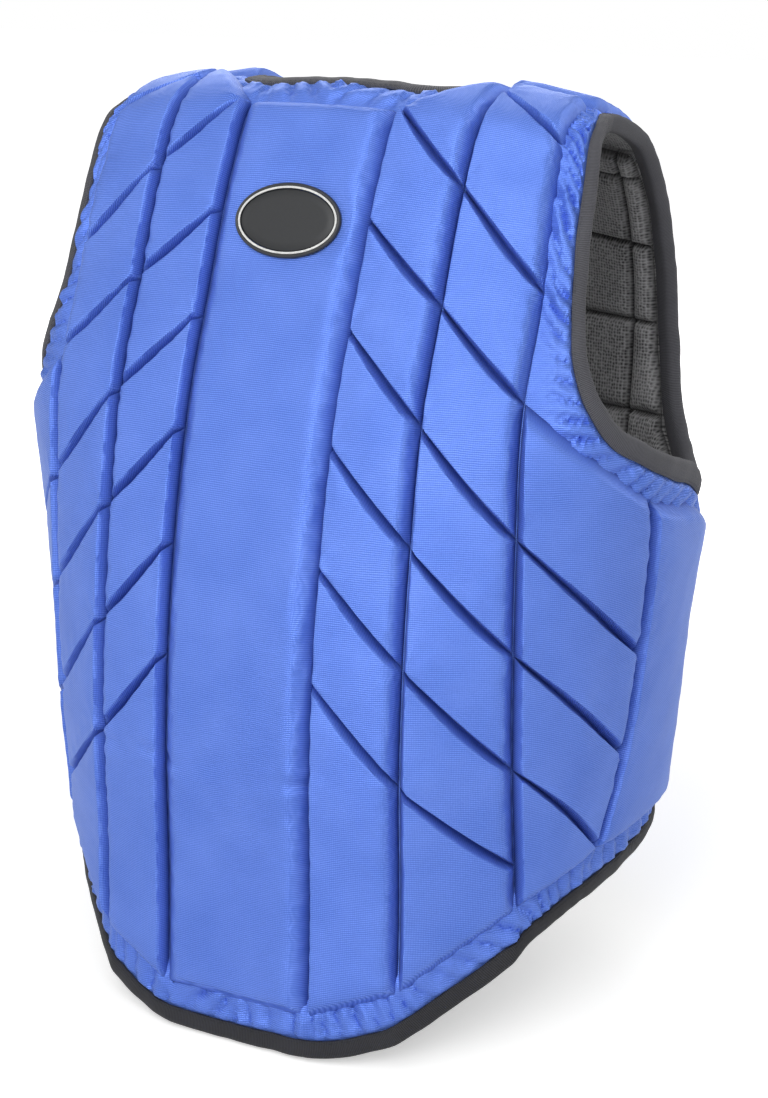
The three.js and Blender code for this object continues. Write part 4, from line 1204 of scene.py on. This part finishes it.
def padding_piece(node, outline, side):
    """Soft blocks inside the lining, parted by sewn lines."""
    border = np.array(sampled(turned(outline), PADDING_STEP), float)
    low, high = np.floor(border.min(axis=0) / PADDING_STEP) * PADDING_STEP, border.max(axis=0)
    u, v = np.meshgrid(*(np.arange(low[axis], high[axis], PADDING_STEP) for axis in range(2)))
    inner = np.stack([u.ravel(), v.ravel()], axis=1)
    inner = inner[clearance(inner, border) > PADDING_CLEAR]
    points, faces = triangulated([tuple(p) for p in border], [], [tuple(p) for p in inner])
    column = np.abs((points[:, 0] / PADDING_COLUMN) % 1 - 0.5) * 2
    row = np.abs((points[:, 1] / PADDING_ROW) % 1 - 0.5) * 2
    away = np.minimum(PADDING_COLUMN / 2 * (1 - column), PADDING_ROW / 2 * (1 - row))
    away = np.minimum(away, clearance(points, border))
    full = np.clip(away / PADDING_ROUND, 0, 1)
    depth = PADDING_LEAST + (PADDING_DEPTH - PADDING_LEAST) * np.sqrt(1 - (1 - full) ** 2)
    bottom = PADDING_TOP - depth
    flipped = points * np.array([side, 1])
    piece = shell(f"{node}_sewn", flipped, faces, PADDING_TOP, bottom, MESH_CLOTH, body_of_node(node))
    # Painted shade: the padding's colour darkens where it thins towards its sewn lines and edges
    mark_shade_depth(piece, np.concatenate([full * 0, (1 - full) ** 2]))
    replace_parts(piece, node)
    return piece


def paddings():
    stop = RIDGE - 72
    half = [(0, SPINE_FOOT + 1), (LINE_B - 4, COLUMN_FOOT - 5), (LINE_C + 2, HIP_FOOT - 4),
            (LINE_D + 8, SIDE_FOOT - 2), (LINE_E - 1, SIDE_FOOT), (LINE_E - 1, SIDE_TOP - 2),
            (LINE_E - 48, SIDE_TOP + 12), (LINE_D + 3, SEAM_TOP + 6), (LINE_D - 38, SEAM_TOP + 32),
            (LINE_C + 28, ARMHOLE_FLOOR + 100), (LINE_C + 12, ARMHOLE_FLOOR + 169), (LINE_C, stop),
            (0, stop)]
    padding_piece("back_inner_padding", half[:-1] + [(-u, v) for u, v in half[-2:0:-1]], 1)
    zip_side = ZIP_SIDE - 15
    front = [(LINE_E + 1, SIDE_FOOT), (FRONT_C, SIDE_FOOT - 1), (zip_side, FRONT_HEM + 22),
             (zip_side, NECK_FLOOR - 32), (FRONT_A - 14, NECK_FLOOR), (FRONT_A - 30, NECK_FLOOR + 55),
             (FRONT_B + 14, stop), (FRONT_C + 8, stop), (FRONT_C + 4, ARMHOLE_FLOOR + 169),
             (FRONT_C + 4, ARMHOLE_FLOOR + 114), (FRONT_C + 1, ARMHOLE_FLOOR + 59),
             (FRONT_C - 12, ARMHOLE_FLOOR + 14), (LINE_E + 36, ARMHOLE_FLOOR - 10),
             (LINE_E + 1, ARMHOLE_FLOOR - 22)]
    for word, side in SIDES:
        padding_piece(f"front_inner_padding_{word}", front, side)


# Zip and shoulder closure

def carried_over():
    """Better finishes for the CAD pieces that keep their shape."""
    finishes = {"zip_slider": (ZIP_METAL, "zip_metal"), "zip_pull_tab": (ZIP_METAL, "zip_metal"),
                "zip_pin": (ZIP_PLASTIC, "zip_plastic"), "zip_box": (ZIP_PLASTIC, "zip_plastic")}
    for word, _ in SIDES:
        finishes[f"zip_tape_{word}"] = (ZIP_CLOTH, "zip_tape")
        finishes[f"zip_teeth_{word}"] = (ZIP_PLASTIC, "zip_plastic")
        finishes[f"zip_top_stop_{word}"] = (ZIP_PLASTIC, "zip_plastic")
        finishes[f"shoulder_tongue_{word}"] = (HOOK_CLOTH, "hook_and_loop")
        finishes[f"shoulder_loop_patch_{word}"] = (HOOK_CLOTH, "hook_and_loop")
    for name, (material, slot) in finishes.items():
        piece = frame["nodes"][name]
        piece.data.materials.clear()
        piece.data.materials.append(material)


# Studio

CAMERA_AT = (-0.61853, 1.15645, 0.37726)
CAMERA_LOOK = (-0.0364, 0.057, 0.0)
CAMERA_LENS = 75.63
SENSOR_WIDTH = 36
FLOOR_Z = -0.268
FLOOR_REACH = 6
FLOOR_GLOW = 0.45
FLOOR_NEAR = 0.5
FLOOR_FAR = 1.3
AMBIENT = 0.11
GLOSS_GLOW = 0.5
LAMP_AWAY = 2.2
LAMP_SIZE = 1.2
# Direction round from the centre back, direction up, in degrees, and power in watts
LAMPS = {"behind": (-5, 25, 15.5), "right": (-35, 38, 12.5), "far_right": (-70, 30, 4.5),
         "left": (60, 25, 6.5), "above": (0, 55, 11), "front_left": (150, 30, 13),
         "front_right": (-150, 30, 13)}


def aim(piece, target):
    direction = Vector(target) - piece.location
    piece.rotation_euler = direction.to_track_quat("-Z", "Y").to_euler()


def lamp(name, where, size, power):
    """Soft square lamp that looks at the middle of the vest."""
    light = bpy.data.lights.new(name, "AREA")
    light.shape = "SQUARE"
    light.size = size
    light.energy = power
    piece = bpy.data.objects.new(name, light)
    piece.location = where
    bpy.context.scene.collection.objects.link(piece)
    aim(piece, (0, 0, 0))


def background_seen(tree):
    """How much of the white background a ray meets: all for the camera, part for gloss and glass."""
    rays = tree.nodes.new("ShaderNodeLightPath")
    other = math_node(tree, "MAXIMUM", rays.outputs["Is Glossy Ray"], rays.outputs["Is Transmission Ray"])
    dimmed = math_node(tree, "MULTIPLY", other, GLOSS_GLOW)
    return math_node(tree, "MAXIMUM", rays.outputs["Is Camera Ray"], dimmed)


def white_world():
    world = bpy.data.worlds.new("studio")
    world.use_nodes = True
    bpy.context.scene.world = world
    tree = world.node_tree
    back = tree.nodes["Background"]
    back.inputs["Color"].default_value = (1, 1, 1, 1)
    strength = math_node(tree, "MULTIPLY_ADD", background_seen(tree), 1 - AMBIENT, AMBIENT)
    tree.links.new(strength, back.inputs["Strength"])


def floor_material():
    """Pale floor that keeps the shadow near the vest and fades into the white background."""
    material, tree, shader = nodes_of("floor")
    set_sockets(shader, {"Base Color": (0.86, 0.86, 0.86, 1), "Roughness": 0.9,
                         "Emission Color": (1, 1, 1, 1)})
    away = tree.nodes.new("ShaderNodeVectorMath")
    away.operation = "LENGTH"
    tree.links.new(tree.nodes.new("ShaderNodeTexCoord").outputs["Object"], away.inputs[0])
    fade = tree.nodes.new("ShaderNodeMapRange")
    fade.interpolation_type = "SMOOTHSTEP"
    set_sockets(fade, {"From Min": FLOOR_NEAR, "From Max": FLOOR_FAR, "To Min": FLOOR_GLOW, "To Max": 1})
    tree.links.new(away.outputs["Value"], fade.inputs["Value"])
    glow = math_node(tree, "MULTIPLY", background_seen(tree), fade.outputs["Result"])
    tree.links.new(glow, shader.inputs["Emission Strength"])
    return material


def studio():
    scene = bpy.context.scene
    scene.view_settings.view_transform = "Standard"
    camera = bpy.data.objects.new("camera", bpy.data.cameras.new("camera"))
    camera.data.lens = CAMERA_LENS
    camera.data.sensor_width = SENSOR_WIDTH
    camera.location = CAMERA_AT
    scene.collection.objects.link(camera)
    aim(camera, CAMERA_LOOK)
    scene.camera = camera
    for name, (round_it, up, power) in LAMPS.items():
        turn, lift = math.radians(round_it), math.radians(up)
        where = Vector((math.sin(turn) * math.cos(lift), math.cos(turn) * math.cos(lift), math.sin(lift)))
        lamp(name, where * LAMP_AWAY, LAMP_SIZE, power)
    white_world()
    floor_mesh = bpy.data.meshes.new("floor")
    corners = [(x * FLOOR_REACH, y * FLOOR_REACH, FLOOR_Z) for x, y in ((-1, -1), (1, -1), (1, 1), (-1, 1))]
    floor_mesh.from_pydata(corners, [], [(0, 1, 2, 3)])
    floor = bpy.data.objects.new("floor", floor_mesh)
    scene.collection.objects.link(floor)
    floor_mesh.materials.append(floor_material())


studio()
back_pads()
front_pads()
covers_and_linings()
tapes()
paddings()
badge()
carried_over()
